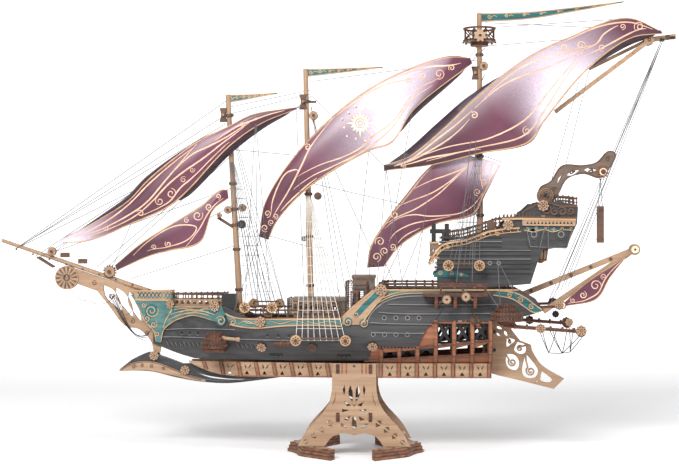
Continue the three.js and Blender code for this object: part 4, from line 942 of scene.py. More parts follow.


# ---------- Sails: stiff printed card between an upper and a lower edge, bellied to port ----------
# Each sail also gives its painted highlight (centre along the sail, spread, strength, and how much it fades towards
# the upper edge) and patches of painted shade (centre along the sail, width, depth).
SAILS = {
    "sail_fore_upper": {
        "upper": [(-266, -7, 126), (-226, -13, 146), (-197, -15, 164), (-177, -16, 185), (-131, -16, 220), (-104, -15, 232.5),
                  (-81, -13, 244), (-40, -9, 251)],
        "lower": [(-264, -7, 124), (-234, -14, 126), (-196, -16, 141), (-158, -16, 158), (-143, -15, 171), (-103, -13, 214),
                  (-72, -11, 236), (-40, -9, 249)],
        "belly": 4, "painted_shade": [(0.92, 0.14, 0.5)], "painted_light": (0.04, 0.12, 0.9, 0.5),
        "lines": [[(0.06, 0.5), (0.2, 0.32), (0.32, 0.16), (0.46, 0.12), (0.56, 0.1)],
                  [(0.1, 0.6), (0.22, 0.62), (0.33, 0.58), (0.43, 0.43), (0.51, 0.27), (0.57, 0.06)],
                  [(0.43, 0.43), (0.55, 0.24), (0.64, 0.34), (0.72, 0.5), (0.8, 0.5)],
                  [(0.14, 0.72), (0.28, 0.8), (0.38, 0.62), (0.47, 0.5), (0.57, 0.5), (0.67, 0.6), (0.76, 0.62), (0.86, 0.4)],
                  [(0.33, 0.86), (0.45, 0.88), (0.53, 0.78), (0.62, 0.8), (0.72, 0.82)],
                  [(0.66, 0.3), (0.76, 0.3), (0.86, 0.5), (0.96, 0.4)]],
        "scrolls": [(0.33, 0.76, 3.4, 1), (0.41, 0.72, 4.2, -1), (0.47, 0.74, 5.0, 1), (0.54, 0.66, 3.0, -1), (0.58, 0.6, 2.6, 1),
                    (0.2, 0.72, 2.6, 1), (0.79, 0.4, 2.6, -1)],
        "lips": [("upper", 0.06, 0.56, 5.0), ("lower", 0.5, 0.97, 5.4)],
    },
    "sail_jib": {
        "upper": [(-212, -5, 103), (-187, -8, 123.6), (-156, -9, 143), (-130, -9, 159), (-111, -8, 174), (-105, -7, 174)],
        "lower": [(-210, -5, 98), (-177, -8, 112), (-159, -9, 116.4), (-131, -9, 124), (-119, -9, 154), (-104, -7, 166)],
        "belly": 2, "painted_shade": [(0.0, 0.3, 0.5)], "painted_light": (0.5, 0.3, 0.0, 0.0),
        "lines": [[(0.12, 0.4), (0.22, 0.18), (0.38, 0.12), (0.57, 0.5), (0.5, 0.78), (0.36, 0.82), (0.2, 0.62)],
                  [(0.5, 0.95), (0.58, 0.66), (0.68, 0.5), (0.8, 0.72), (0.93, 0.7)]],
        "scrolls": [(0.58, 0.22, 5.2, 1), (0.5, 0.18, 2.8, -1), (0.69, 0.3, 3.6, 1), (0.81, 0.34, 2.6, -1), (0.38, 0.72, 3.2, -1),
                    (0.26, 0.6, 2.6, 1)],
        "lips": [],
    },
    "sail_main_upper": {
        "upper": [(-75, -10, 130), (-69, -12, 162), (-40, -14, 207), (6, -15, 252), (50, -15, 280), (103, -12, 297.7), (122, -10, 296)],
        "lower": [(-66, -10, 127), (-57, -12, 145), (-27, -14, 176), (28, -15, 209), (49, -15, 216), (68, -14, 246), (124, -10, 291)],
        "belly": 5, "painted_shade": [(0.0, 0.2, 0.7), (1.0, 0.12, 0.35)], "painted_light": (0.66, 0.17, 1.0, 0.7),
        "lines": [[(0.16, 0.55), (0.2, 0.3), (0.27, 0.14), (0.31, 0.3), (0.32, 0.42)],
                  [(0.15, 0.72), (0.25, 0.64), (0.33, 0.4), (0.38, 0.18), (0.46, 0.04)],
                  [(0.31, 0.52), (0.38, 0.7), (0.43, 0.84), (0.48, 0.87), (0.55, 0.77), (0.63, 0.72), (0.7, 0.65), (0.77, 0.46), (0.88, 0.5)],
                  [(0.28, 0.71), (0.35, 0.8), (0.4, 0.9), (0.46, 0.95), (0.52, 0.92), (0.6, 0.84), (0.69, 0.74), (0.77, 0.58), (0.86, 0.62)],
                  [(0.2, 0.86), (0.28, 0.9), (0.36, 0.92)],
                  [(0.46, 0.05), (0.56, 0.07), (0.65, 0.1), (0.73, 0.2)], [(0.66, 0.05), (0.76, 0.1), (0.85, 0.2), (0.95, 0.3)]],
        "scrolls": [(0.37, 0.13, 3.4, 1), (0.72, 0.2, 3.2, -1), (0.77, 0.25, 3.6, 1), (0.85, 0.36, 5.2, -1), (0.91, 0.36, 3.2, 1),
                    (0.14, 0.36, 3.6, -1), (0.06, 0.42, 3.8, 1), (0.17, 0.8, 2.8, -1), (0.12, 0.74, 3.0, 1)],
        "lips": [("lower", 0.74, 0.98, 4.4)],
    },
    "sail_mizzen_lower": {
        "upper": [(26, -7, 101), (29, -8, 120), (44, -9, 145), (62, -9, 168.5), (80, -8, 190.6), (103, -6.5, 210)],
        "lower": [(42, -7, 102), (58, -9, 122), (92, -10, 142), (127, -9, 151), (136, -7.5, 168.5), (152, -5.5, 198)],
        "belly": 2, "painted_shade": [(0.02, 0.25, 0.5)], "painted_light": (0.97, 0.1, 0.75, 0.8),
        "lines": [[(0.99, 0.51), (0.92, 0.47), (0.84, 0.33), (0.76, 0.18), (0.66, 0.04)],
                  [(0.96, 0.51), (0.89, 0.46), (0.79, 0.41), (0.67, 0.29), (0.56, 0.1), (0.51, 0.02)],
                  [(0.95, 0.5), (0.84, 0.46), (0.71, 0.4), (0.6, 0.32), (0.5, 0.26), (0.42, 0.13), (0.37, 0.03)],
                  [(0.34, 0.09), (0.42, 0.18), (0.47, 0.36), (0.48, 0.62), (0.54, 0.79), (0.62, 0.86), (0.72, 0.92), (0.81, 0.95)],
                  [(0.24, 0.48), (0.31, 0.42), (0.38, 0.54), (0.44, 0.76), (0.52, 0.82)],
                  [(0.22, 0.81), (0.28, 0.76), (0.35, 0.84)],
                  [(0.99, 0.61), (0.93, 0.7), (0.87, 0.83), (0.83, 0.93)], [(0.99, 0.73), (0.95, 0.74), (0.9, 0.8)],
                  [(0.99, 0.84), (0.95, 0.87), (0.89, 0.95)]],
        "scrolls": [(0.87, 0.87, 3.2, -1), (0.8, 0.87, 3.6, 1), (0.45, 0.07, 4.0, -1), (0.24, 0.22, 4.8, 1), (0.1, 0.36, 4.6, -1),
                    (0.15, 0.58, 4.0, 1), (0.19, 0.76, 3.4, -1)],
        "lips": [],
    },
    "sail_mizzen_top": {
        "upper": [(42, -14, 196.5), (64, -14, 204), (98, -15, 231.6), (126, -16, 259), (176, -16, 297), (211, -14, 313.5),
                  (265, -12, 332), (298, -9, 319.5)],
        "lower": [(42, -14, 191), (87, -14, 196.7), (131, -14, 206.6), (177, -15, 216.5), (190, -15, 235.5), (231, -14, 285),
                  (270, -11, 313), (299, -9, 317.5)],
        "belly": 5, "painted_shade": [(0.0, 0.24, 0.95), (1.0, 0.1, 0.6)], "painted_light": (0.63, 0.12, 0.95, 0.85),
        "lines": [[(0.14, 0.2), (0.22, 0.42), (0.31, 0.66), (0.41, 0.67), (0.52, 0.73), (0.6, 0.69), (0.68, 0.63), (0.73, 0.52)],
                  [(0.15, 0.66), (0.26, 0.8), (0.38, 0.84), (0.5, 0.88), (0.58, 0.86), (0.64, 0.78), (0.71, 0.64)],
                  [(0.4, 0.12), (0.48, 0.12), (0.54, 0.2), (0.62, 0.34), (0.71, 0.5)],
                  [(0.44, 0.1), (0.53, 0.08), (0.62, 0.17), (0.7, 0.34), (0.75, 0.52)],
                  [(0.7, 0.42), (0.76, 0.56), (0.79, 0.4), (0.83, 0.3)],
                  [(0.72, 0.66), (0.79, 0.8), (0.86, 0.76), (0.93, 0.5)],
                  [(0.7, 0.06), (0.78, 0.08), (0.86, 0.24), (0.96, 0.35)],
                  [(0.05, 0.4), (0.18, 0.14), (0.3, 0.13), (0.39, 0.12)], [(0.04, 0.5), (0.14, 0.28), (0.26, 0.3), (0.36, 0.2)],
                  [(0.06, 0.6), (0.15, 0.5), (0.22, 0.72), (0.3, 0.88)]],
        "scrolls": [(0.38, 0.2, 3.6, 1), (0.46, 0.84, 4.2, -1), (0.69, 0.2, 4.0, 1), (0.73, 0.36, 4.4, -1), (0.77, 0.76, 3.4, 1),
                    (0.84, 0.4, 3.0, -1), (0.9, 0.44, 5.0, 1), (0.07, 0.64, 2.6, -1)],
        "lips": [("upper", 0.03, 0.5, 7.5), ("lower", 0.72, 0.97, 5.0)],
    },
    "sail_spanker": {
        "upper": [(270, -1.2, 113.8), (252, -1.2, 102), (231, -1.2, 88.3), (209, -1.2, 68)],
        "lower": [(266, -1.2, 110), (252, -1.2, 92), (240, -1.2, 72), (210, -1.2, 65)],
        "belly": 0.8, "painted_shade": [(0.1, 0.3, 0.35)], "painted_light": (0.5, 0.3, 0.0, 0.0),
        "lines": [[(0.96, 0.6), (0.84, 0.8), (0.72, 0.78), (0.58, 0.78), (0.44, 0.6), (0.22, 0.45), (0.06, 0.3)]],
        "scrolls": [(0.6, 0.42, 5.4, 1), (0.78, 0.45, 3.6, -1), (0.9, 0.46, 2.4, 1), (0.45, 0.35, 2.8, -1)],
        "lips": [],
    },
}
CARD = 0.8  # the card's thickness


def centripetal(points, t):
    """The point at t on a centripetal Catmull-Rom curve with equal steps of t between its points."""
    pts, n = [np.array(p, float) for p in points], len(points)
    i = min(int((n - 1) * t), n - 2)
    w = (n - 1) * t - i
    p1, p2 = pts[i], pts[i + 1]
    p0 = pts[i - 1] if i else 2 * pts[0] - pts[1]
    p3 = pts[i + 2] if i + 2 < n else 2 * pts[-1] - pts[-2]
    d0, d1, d2 = (float(np.sum((a - b) ** 2)) ** 0.25 for a, b in ((p0, p1), (p1, p2), (p2, p3)))
    a = ((p1 - p0) / d0 - (p2 - p0) / (d0 + d1) + (p2 - p1) / d1) * d1
    b = ((p2 - p1) / d1 - (p3 - p1) / (d1 + d2) + (p3 - p2) / d2) * d1
    return p1 + a * w + (-3 * p1 + 3 * p2 - 2 * a - b) * w**2 + (2 * p1 - 2 * p2 + a + b) * w**3


def lip(piece, spot, edge, u0, u1, wide):
    """The card's turned-back edge, seen as a dark curved strip above or below the print."""
    v, way = (0, 1) if edge == "upper" else (1, -1)
    steps, strip = 36, []
    for k in range(steps + 1):
        share = k / steps
        p, q = spot(lerp(u0, u1, share), v), spot(min(1, lerp(u0, u1, share) + 0.01), v)
        run = np.array((q[0] - p[0], 0, q[2] - p[2]))
        out = np.array((-run[2], 0, run[0])) / max(np.linalg.norm(run), 1e-6) * way
        reach = wide * sin(pi * share) ** 0.7
        strip += [p + out * r + (0, y, 0) for r, y in ((-1.0, 1.0), (reach * 0.6, 3.0), (reach, 7.0))]
    thick = np.array((0, 0.7, 0))
    rings = [[*strip[k:k + 3], *(p + thick for p in strip[k:k + 3][::-1])] for k in range(0, len(strip), 3)]
    piece.loft("sail_back", rings)


def sail(name, edges):
    """The printed card: gilt hems, painted lines and curls on both faces, with painted highlight and painted shade
    from its per-point layer.
    """
    memory = {}

    def spot(u, v):
        """The card's middle at a share u along the sail and v from its upper to its lower edge."""
        if u not in memory:
            memory[u] = centripetal(edges["upper"], u), centripetal(edges["lower"], u)
        a, b = memory[u]
        p = a + (b - a) * v
        return np.array((p[0], p[1] - edges["belly"] * 4 * v * (1 - v) * sin(pi * u), p[2]))

    def face(way):
        def surf(u, v, h):
            p = spot(min(max(u, 0), 1), v)
            return (p[0], p[1] + way * (CARD / 2 + h), p[2])
        return surf

    def painted_light_at(u, v):
        """Over 0 where a painted highlight pales the print to pearl, under 0 where painted shade darkens it."""
        middle, spread, strength, share = edges["painted_light"]
        glow = exp(-(((u - middle) / spread) ** 2)) * strength
        painted_shade = sum(deep * exp(-(((u - at_u) / wide) ** 2)) for at_u, wide, deep in edges["painted_shade"])
        return min(1, glow * lerp(1, 0.35 + v, share)) - painted_shade

    piece = Piece(name + "_print", "printed_sail", replaces=(name,))
    nu, nv = 84, 16
    spots = [(i / nu, j / nv) for i in range(nu + 1) for j in range(nv + 1)]
    at = lambda s, i, j: s * len(spots) + i * (nv + 1) + j
    faces = [[at(s, i, j), at(s, i + 1, j), at(s, i + 1, j + 1), at(s, i, j + 1)]
             for i in range(nu) for j in range(nv) for s in (0, 1)]
    # every point carries its painted highlight and painted shade value
    piece.add([face(way)(u, v, 0) for way in (-1, 1) for u, v in spots], faces, "sail",
              [painted_light_at(u, v) for u, v in spots] * 2)
    rim = [[at(0, i, j), at(0, i + 1, j), at(1, i + 1, j), at(1, i, j)] for i in range(nu) for j in (0, nv)]
    rim += [[at(0, i, j), at(0, i, j + 1), at(1, i, j + 1), at(1, i, j)] for j in range(nv) for i in (0, nu)]
    piece.faces += rim
    piece.used.append("bark")
    piece.kinds += [piece.used.index("bark")] * len(rim)
    length = sum(dist(spot(k / 40, 0.5), spot((k + 1) / 40, 0.5)) for k in range(40))
    for way in (-1, 1):
        surf = face(way)
        for v, wide in ((0.03, 1.6), (0.97, 1.9)):
            piece.ribbon("gilt", surf, [(k / 80, v) for k in range(1, 80)], wide * min(1, length / 150), 0.14,
                         0.1, 0.35)
        for line in edges["lines"]:
            piece.ribbon("rose", surf, smooth(line, 36), 1.5 if length > 150 else 1.15, 0.2, 0.1, 0.25)
        for u, v, r, turn in edges["scrolls"]:
            centre = spot(u, v)
            flat = facing((centre[0], centre[1] + way * CARD / 2, centre[2]),
                          np.cross(spot(u + 0.01, v) - spot(u - 0.01, v),
                                   spot(u, v + 0.05) - spot(u, v - 0.05)))
            out = 1 if flat(0, 0, 1)[1] * way > flat(0, 0, 0)[1] * way else -1
            outwards = lambda a, b, h, flat=flat, out=out: flat(a, b, out * h)
            curl = spiral(0, 0, r, 0.5 + u * 9, turn * 1.35, 0.2, 14)
            piece.ribbon("rose", outwards, curl, 0.95 if r > 3 else 0.75, 0.3, 0.5, 0.6)
    if name == "sail_main_upper":
        emblem(piece, spot)
    for edge in edges["lips"]:
        lip(piece, spot, *edge)
    piece.done()


def emblem(piece, spot):
    """A plain starburst and a ring of dots, pale on the print."""
    centre = spot(0.52, 0.46)
    here = facing((centre[0], centre[1] - CARD / 2, centre[2]), (0, -1, 0))
    n = 32
    rays = []
    for k in range(n):
        a = 2 * pi * k / n + pi / 2
        r = (13.5 if k % 8 == 0 else 9.6) if k % 2 == 0 else 6.2
        rays.append((r * cos(a), r * sin(a)))
    piece.slab("cream", here, rays, [circle(0, 0, 4.7, 20)], -0.4, 0.25)
    piece.slab("cream", here, circle(0, 0, 3.6, 18), [circle(0, 0, 2.7, 16)], -0.4, 0.25)
    piece.slab("cream", here, circle(0, 0, 1.3, 10), (), -0.4, 0.25)
    for k in range(12):
        a = 2 * pi * (k + 0.5) / 12
        r = 17.5 if k % 2 else 15.5
        piece.slab("cream", here, circle(r * cos(a), r * 0.95 * sin(a), 0.8, 8), (), -0.6, 0.3)


for name, edges in SAILS.items():
    sail(name, edges)


# ---------- Decks, rails and houses ----------
def railing(name, path, height, posts):
    """A post-and-rail fence along a path of (x, y, z) foot points."""
    piece = Piece(name, "brown_ply")
    along = smooth3(path, max(6, posts * 3))
    for rise, thick, sides in ((height, 0.9, 6), (0.7, 0.8, 6), (height * 0.52, 0.45, 5)):
        piece.tube("bark", [(x, y, z + rise) for x, y, z in along], thick, sides)
    post = [(0.9, 0), (0.9, 1), (0.55, 1.4), (0.55, height * 0.35), (1.0, height * 0.5),
            (0.55, height * 0.65),
            (0.55, height), (1.1, height + 0.4), (0.6, height + 1.6)]
    for k in range(posts):
        piece.turned("bark", along[round(k * (len(along) - 1) / (posts - 1))], (0, 0, 1), post, 8)
    piece.done()


def smooth3(points, n):
    """Smooth a path of 3-D points through their heights over their run."""
    pts = [np.array(p, float) for p in points]
    if len(pts) == 2:
        return [tuple(pts[0] + (pts[1] - pts[0]) * k / n) for k in range(n + 1)]
    flat = smooth([(p[0], p[2]) for p in pts], n)
    side = smooth([(p[0], p[1]) for p in pts], n)
    return [(a, d, b) for (a, b), (_, d) in zip(flat, side)]


def deck_edge(x, z, inset=5):
    return max(3, half_beam(x, z) - inset)


for word, side in SIDES:
    railing(f"forecastle_rail_{word}",
            [(x, side * deck_edge(x, 64, 5.5), 66) for x in (-157, -140, -124, -108)], 10, 11)
    screen = Piece(f"forecastle_screen_{word}", "tan_ply")
    surf = lambda x, z, h, s=side: (x, s * (deck_edge(x, 64, 4.6) + h), z)
    holes = [rect(-153.5 + 6.1 * k, 68.4, 3.6, 3.2) for k in range(8)]
    screen.slab("ply_y", surf, [(-157, 63.4), (-107, 63.4), (-107, 71.6), (-157, 71.6)], holes, -1.0, 0,
                (5, 4))
    screen.done()
    railing(f"waist_rail_{word}", [(x, side * deck_edge(x, 56, 5.0), 54.5) for x in (-94, -60, -20, 2)], 8,
            14)
    railing(f"quarter_rail_{word}", [(x, side * deck_edge(x, 80, 6.0), 80) for x in (40, 80, 120, 160)], 7,
            16)

planks = Piece("deck_planking", "tan_ply")
for z, x0, x1, pitch in ((60, -166, -98, 4.5), (52, -94, 20, 4.5), (79, 27, 164, 5)):
    for k in range(-8, 9):
        y = k * pitch
        ends = [x for x in np.linspace(x0, x1, 40) if abs(y) < half_beam(x, z) - 5]
        if len(ends) > 4:
            planks.ribbon("bark", level(z), [(x, y) for x in ends], 0.35, 0.1, 0.2)
planks.done()


def cabin(name, xs, half, zs, tone, boards, windows, roof_tone):
    """Boarding, window frames and a roof edge laid over a deck house."""
    piece = Piece(name, "brown_ply")
    (x0, x1), (z0, z1) = xs, zs
    tall, mid = z1 - z0, lerp(z0, z1, 0.5)
    for side in (-1, 1):
        face = upright(side * half, side)
        z = z0 + 2
        while z < z1 - 4:
            piece.ribbon(boards, face, [(x0 + 0.6, z), (x1 - 0.6, z)], 0.5, 0.35)
            z += 3.4
        for x in windows:
            pane = tall * 0.3
            piece.slab(roof_tone, face, rect(x, mid, 6.6, pane + 3), [rect(x, mid, 4.0, pane)], -0.1, 0.9)
            piece.ribbon("black", face, [(x, mid - pane / 2), (x, mid + pane / 2)], 0.6, 0.4)
            piece.ribbon("black", face, [(x - 2, mid), (x + 2, mid)], 0.6, 0.4)
        for k in range(int((x1 - x0) / 2.4)):
            x = x0 + 1.6 + 2.4 * k
            piece.slab(roof_tone, face, [(x - 0.9, z1 - 3.2), (x + 0.9, z1 - 3.2), (x, z1 - 5.4)], (), -0.1,
                       0.7)
        for x in (x0 + 0.8, x1 - 0.8):
            piece.ribbon(tone, face, [(x, z0 + 0.2), (x, z1 - 3.2)], 1.4, 0.8)
    for end, x in ((-1, x0), (1, x1)):
        face = across(x, end)
        for k in range(5):
            y = lerp(-half, half, (k + 0.5) / 5)
            piece.ribbon(boards, face, [(y, z0 + 0.4), (y, z1 - 3.4)], 0.6, 0.35)
        door_z = lerp(z0, z1, 0.42)
        piece.slab(roof_tone, face, rect(0, door_z, 8, tall * 0.6), [rect(0, door_z, 5.4, tall * 0.5)], -0.1,
                   0.8)
    piece.done()


cabin("deckhouse_boards", (-48, 2), 17, (52.3, 76), "bark", "char_edge", (-40, -30, -20, -10), "ply_y")
cabin("quarter_boards", (6.5, 27), 20, (52.3, 92), "bark", "black", (14.5,), "rust_y")


# ---------- Castle ----------
def castle(word, side):
    """The raised after-castle's side: lapped planks, ports, gilded rails and scrolled bulwarks."""
    face = upright(side * 33.02, side)
    piece = Piece(f"castle_trim_{word}", "dark_ply")
    for k, z in enumerate((97, 101.4, 105.6, 109.6, 113.6, 117.6, 121.6, 125.6, 129.6)):
        x0 = lerp(88.6, 94, (z - 97) / 32)
        x1 = 176 if z < 118 else 150
        piece.ribbon("plank" if k in (3, 5, 7) else "char_edge", face, [(x0, z), (x1, z)], 0.7, 0.45)
        piece.ribbon("black", face, [(x0, z - 1.1), (x1, z - 1.1)], 1.0, 0.2)
    for x in (131, 139, 147):
        spot = tangent(face, x, 106)
        piece.slab("plank", spot, circle(0, 0, 2.0, 14), [circle(0, 0, 1.2, 10)], -0.1, 0.5)
    for x, z in ((179, 132.1), (203.5, 132.1)):
        spot = tangent(face, x, z)
        piece.slab("char_edge", spot, circle(0, 0, 5.2, 20), [circle(0, 0, 2.4, 14)], -0.1, 0.8)
        piece.slab("plank", spot, circle(0, 0, 3.0, 16), [circle(0, 0, 2.1, 12)], 0, 1.1)
    for a, b in (((170.9, 139), (175, 121)), ((188.1, 139), (183, 119)), ((190.8, 139.8), (191, 120)),
                 ((213.4, 139), (208, 120)),
                 ((171, 141), (216, 141)), ((174, 121), (208, 120))):
        piece.ribbon("char_edge", face, [a, b], 1.5, 0.9)
        piece.ribbon("plank", face, [(a[0] + 1.0, a[1]), (b[0] + 1.0, b[1])], 0.4, 1.0)
    piece.done()

    rail = Piece(f"castle_rails_{word}", "tan_ply")
    line = smooth([(84, 104), (88, 113), (95, 121.6), (104, 124.6), (115, 126.4), (126, 130), (136, 134),
                   (150, 136.6), (166, 138)], 40)
    rail.ribbon("gilt", face, line, 1.6, 1.4, 0.3)
    rail.ribbon("gilt", face, [(x + 1, z - 3.4) for x, z in line[3:]], 0.8, 1.1, 0.3)
    for k in range(3, len(line) - 1, 2):
        x, z = line[k]
        rail.ribbon("gilt", face, [(x, z), (x + 1.2, z - 3.4)], 0.6, 1.0, 0.3)
    for cx, cz, r, start, turns in ((91, 116, 2.8, 0, 1.4), (86, 107.5, 2.4, 1, -1.4),
                                    (146, 133, 2.4, 2, 1.4), (101, 121, 2.0, 2, 1.4)):
        scrolls(rail, face, 0.8, 1.2, (cx, cz, r, start, turns), base=None)
    holes = [[(172 + 3.3 * k, 141.6), (174.4 + 3.3 * k, 141.6), (173.2 + 3.3 * k, 144)] for k in range(13)]
    band = [(168.5, 140.2), (216.2, 139.6), (216.8, 145), (168.5, 145.6)]
    rail.slab("ply_y", face, band, holes, 0, 1.6)
    rail.slab("black", face, [(169, 140.8), (215.6, 140.4), (215.8, 144.4), (169, 144.8)], (), 0, 0.5)
    rail.ribbon("gilt", face, [(150, 146.2), (168, 146.4), (217, 145.6)], 1.6, 2.0, 0.3)
    rail.done()

    teal = Piece(f"castle_scrolls_{word}", "painted_trim")
    teal.slab("teal", face, [(169, 138.8), (216, 138.2), (215, 135.8), (204, 136.6), (196, 134.6),
                             (188, 136.8), (178, 134.8), (170, 136.4)], (), 0, 0.8)
    for k in range(6):
        scrolls(teal, face, 0.6, 1.0, (173.4 + 7.8 * k, 137.2, 1.7, k, 1.3 if k % 2 else -1.3), base=None)
    teal.ribbon("gilt", face, smooth([(170, 136.2), (178, 134.6), (188, 136.6), (196, 134.4), (204, 136.4),
                                      (215, 135.6)], 24), 0.7, 1.0)
    teal.slab("teal", face,
              smooth([(88, 95.6), (96, 100), (108, 98.6), (120, 95)], 14) + [(120, 93), (88, 93)], (), 0, 0.8)
    for cx, cz, r, s, t in ((94, 96.6, 2.2, 0, 1.3), (104, 96.4, 2.0, 2, -1.3), (113, 95.2, 1.6, 0, 1.3)):
        scrolls(teal, face, 0.7, 1.0, (cx, cz, r, s, t), base=None)
    teal.done()

    bulwark = Piece(f"castle_bulwark_{word}", "brown_ply")
    for k, (cx, cz,
            r) in enumerate(((190, 155, 4.6), (197.6, 152.8, 3.6), (204.6, 153, 4.2), (212, 153.6, 3.4))):
        bulwark.ribbon("bark", face, spiral(cx, cz, r, 0.6 + k, 1.3 if k % 2 else -1.3), 1.5, 1.3, 0.3, 0.5)
    bulwark.ribbon("bark", face, smooth([(168, 152), (180, 158.6), (190, 161.4), (203, 158), (218, 157.6)],
                                        24), 1.6, 1.3, 0.3)
    bulwark.ribbon("bark", face, [(150, 147.6), (168, 147.8), (218, 147.4)], 1.2, 1.2, 0.3)
    for k in range(9):
        x = 152 + 3.4 * k
        bulwark.ribbon("bark", face, [(x, 147.6), (x, 152.4 if x > 165 else 150.8)], 0.9, 1.0, 0.3)
    bulwark.done()

    front = Piece(f"castle_cabin_{word}", "tan_ply")
    front.slab("taupe", upright(side * 32.8, side), [(85, 112), (92.5, 110), (92.5, 124.5), (85, 124)],
               [circle(88.6, 117, 1.6, 12)], -1.6, 0.4)
    front.slab("taupe", across(85, -1),
               [(side * 6, 112), (side * 32.6, 112), (side * 32.6, 124), (side * 6, 124)],
               [rect(side * (12 + 7 * k), 118, 4, 6) for k in range(3)], -1.4, 0)
    front.ribbon("gilt", upright(side * 33.2, side), [(84.4, 124.4), (93, 124.8)], 1.3, 0.8)
    front.ribbon("gilt", upright(side * 33.2, side), [(84.4, 112), (93, 110.6)], 1.1, 0.8)
    front.done()

    rosettes = Piece(f"castle_rosettes_{word}", "brown_ply")
    for x, z, r in ((155.5, 140.7, 4.6), (187.2, 158.2, 4.8)):
        rosette(rosettes, tangent(face, x, z), r, h=1.5)
    rosettes.done()


for word, side in SIDES:
    castle(word, side)
    railing(f"castle_fence_{word}", [(97, side * 29, 126), (118, side * 29, 129), (148, side * 29, 139)], 8,
            12)
for name, y in (("castle_stern_fence", -12), ("castle_stern_fence_far", 12)):
    railing(name, [(203, y, 160), (212, y, 159.6), (220, y, 158)], 7, 5)

lamp = Piece("stern_lantern", "brown_ply")
spot = Vector((186.5, -16, 105.5))
lamp.turned("rust_z", spot, (0, 0, 1), [(1.2, 0), (3.2, 1.4), (5.6, 2.4), (6.4, 3.2)], 8)
lamp.turned("ply_turned", spot + Vector((0, 0, 3.1)), (0, 0, 1), [(5.2, 0), (6.6, 5), (6.4, 9)], 8)
lamp.turned("rust_z", spot + Vector((0, 0, 12)), (0, 0, 1),
            [(7.4, 0), (7.0, 1.2), (4.0, 4), (1.4, 5.4), (0.8, 7.4)], 8)
for a, b in circle(0, 0, 1, 8, pi / 8):
    foot = spot + Vector((5.3 * a, 5.3 * b, 3.2))
    lamp.tube("bark", [foot, foot + Vector((1.3 * a, 1.3 * b, 9))], 0.6, 5)
lamp.beam("bark", spot + Vector((0, 0, 18)), (186.5, -16, 127), 1.6, 1.6)
lamp.done()

gear = Piece("deck_gear", "brown_ply")
for xs, ys, zs, tone in (((-108, -95.5), (-26, -14), (60.2, 77), "black"),
                         ((137, 144), (-30, -20), (134, 144), "bark"),
                         ((86, 90), (-30, -26), (124.6, 142), "black"),
                         ((98, 102), (-30, -26), (124.6, 142), "black"),
                         ((84.5, 103.5), (-29.4, -26.6), (133, 137), "black")):
    gear.block(tone, xs, ys, zs, 0.4)
gear.beam("rust_x", (-116.8, -22, 69.2), (-92.5, -22, 53.4), 3.0, 2.0)
x, z, face = -63.9, 61.4, upright(-33, -1)  # the ship's wheel
gear.slab("bark", face, circle(x, z, 5.4, 22), [circle(x, z, 3.9, 18)], 0, 1.6)
for a, b in circle(0, 0, 6.8, 12)[:6]:
    gear.ribbon("bark", face, [(x + a, z + b), (x - a, z - b)], 0.8, 1.4, 0)
gear.beam("bark", (x, -33, 61), (x, -33, 52.2), 2.4, 2.4)
gear.done()


# ---------- Masts, pennants and rigging ----------
MASTS = {
    "fore": ((-93.5, 0, 52.3), (-105.5, 0, 264)),
    "main": ((-27.2, 0, 73.3), (-32, 0, 288)),
    "mizzen": ((132, 0, 79.3), (130.9, 0, 339)),
}


def on_mast(word, z):
    (x0, _, z0), (x1, _, z1) = MASTS[word]
    return lerp(x0, x1, (z - z0) / (z1 - z0))


def cheek(piece, x, z, wide, tall):
    """Two shaped plates with a sheave between them."""
    for s in (-1, 1):
        face = upright(s * 1.9, s)
        edge = smooth([(wide / 2, tall / 2), (wide * 0.3, 0), (wide / 2, -tall / 2)], 8)
        outline = [(x - a, z + b) for a, b in edge[::-1]] + [(x + a, z + b) for a, b in edge]
        piece.slab("bark", face, outline, (), -0.6, 0.6)
        eye(piece, tangent(face, x, z), 1.3, "ply_y", "black", 1.0)
    piece.turned("ply_y", (x, -1.8, z), (0, 1, 0),
                 [(2.4, 0), (2.4, 0.7), (1.5, 1.1), (1.5, 2.5), (2.4, 2.9), (2.4, 3.6)], 14)


def pulley(piece, x, y, z, r, tone="ply_y"):
    """A grooved wheel with an eye on each face."""
    piece.turned(tone, (x, y - 1.3, z), (0, 1, 0),
                 [(r * 0.25, -0.6), (r * 0.9, -0.6), (r, 0), (r * 0.8, 0.9), (r * 0.8, 1.7), (r, 2.6),
                  (r * 0.9, 3.2), (r * 0.25, 3.2)], 20)
    for s in (-1, 1):
        eye(piece, lambda u, v, h, s=s: (x + u, y + s * (1.95 + h), z + v), r * 0.35, "bark", "black", 0.6)


for word, stops in (("fore", (80, 118, 141, 156, 180, 244)), ("main", (84, 130, 170, 215, 257)),
                    ("mizzen", (150, 205, 250, 300))):
    piece = Piece(f"mast_fittings_{word}", "tan_ply")
    for z in stops:
        x = on_mast(word, z)
        piece.turned("bark", (x, 0, z - 1.4), (0, 0, 1), [(3.0, 0), (3.9, 0.3), (3.9, 2.5), (3.0, 2.8)], 14)
    piece.done()

blocks = Piece("rigging_blocks", "brown_ply")
for cheeks in ((-109.7, 244.7, 7, 13), (-34, 256.7, 8, 14), (127, 283, 7, 12)):
    cheek(blocks, *cheeks)
blocks.beam("bark", (-115, 0, 148), (-96, 0, 136), 3.4, 2.6)
blocks.beam("bark", (-110, 0, 244.7), (-100, 0, 244.7), 3.0, 2.0)
blocks.beam("bark", (-36, 0, 256.7), (-22, 0, 256.7), 3.0, 2.0)
for x, y, z, r, tone in ((-24, -5, 243.4, 4.2, "ply_y"), (134.7, -5.5, 288.8, 4.2, "ply_y"),
                         (-91.8, -5, 141.5, 4.0, "black"),
                         (-104.8, -5.5, 155.1, 3.6, "ply_y"), (-91, -6, 157, 3.6, "ply_y"),
                         (-20, -6, 168, 3.6, "bark"),
                         (-113, -4.6, 150, 2.4, "ply_y"), (32, -6, 104, 2.8, "bark"),
                         (131, -5, 204, 3.0, "bark"),
                         (-33, -6, 128, 2.6, "bark")):
    pulley(blocks, x, y, z, r, tone)
blocks.done()


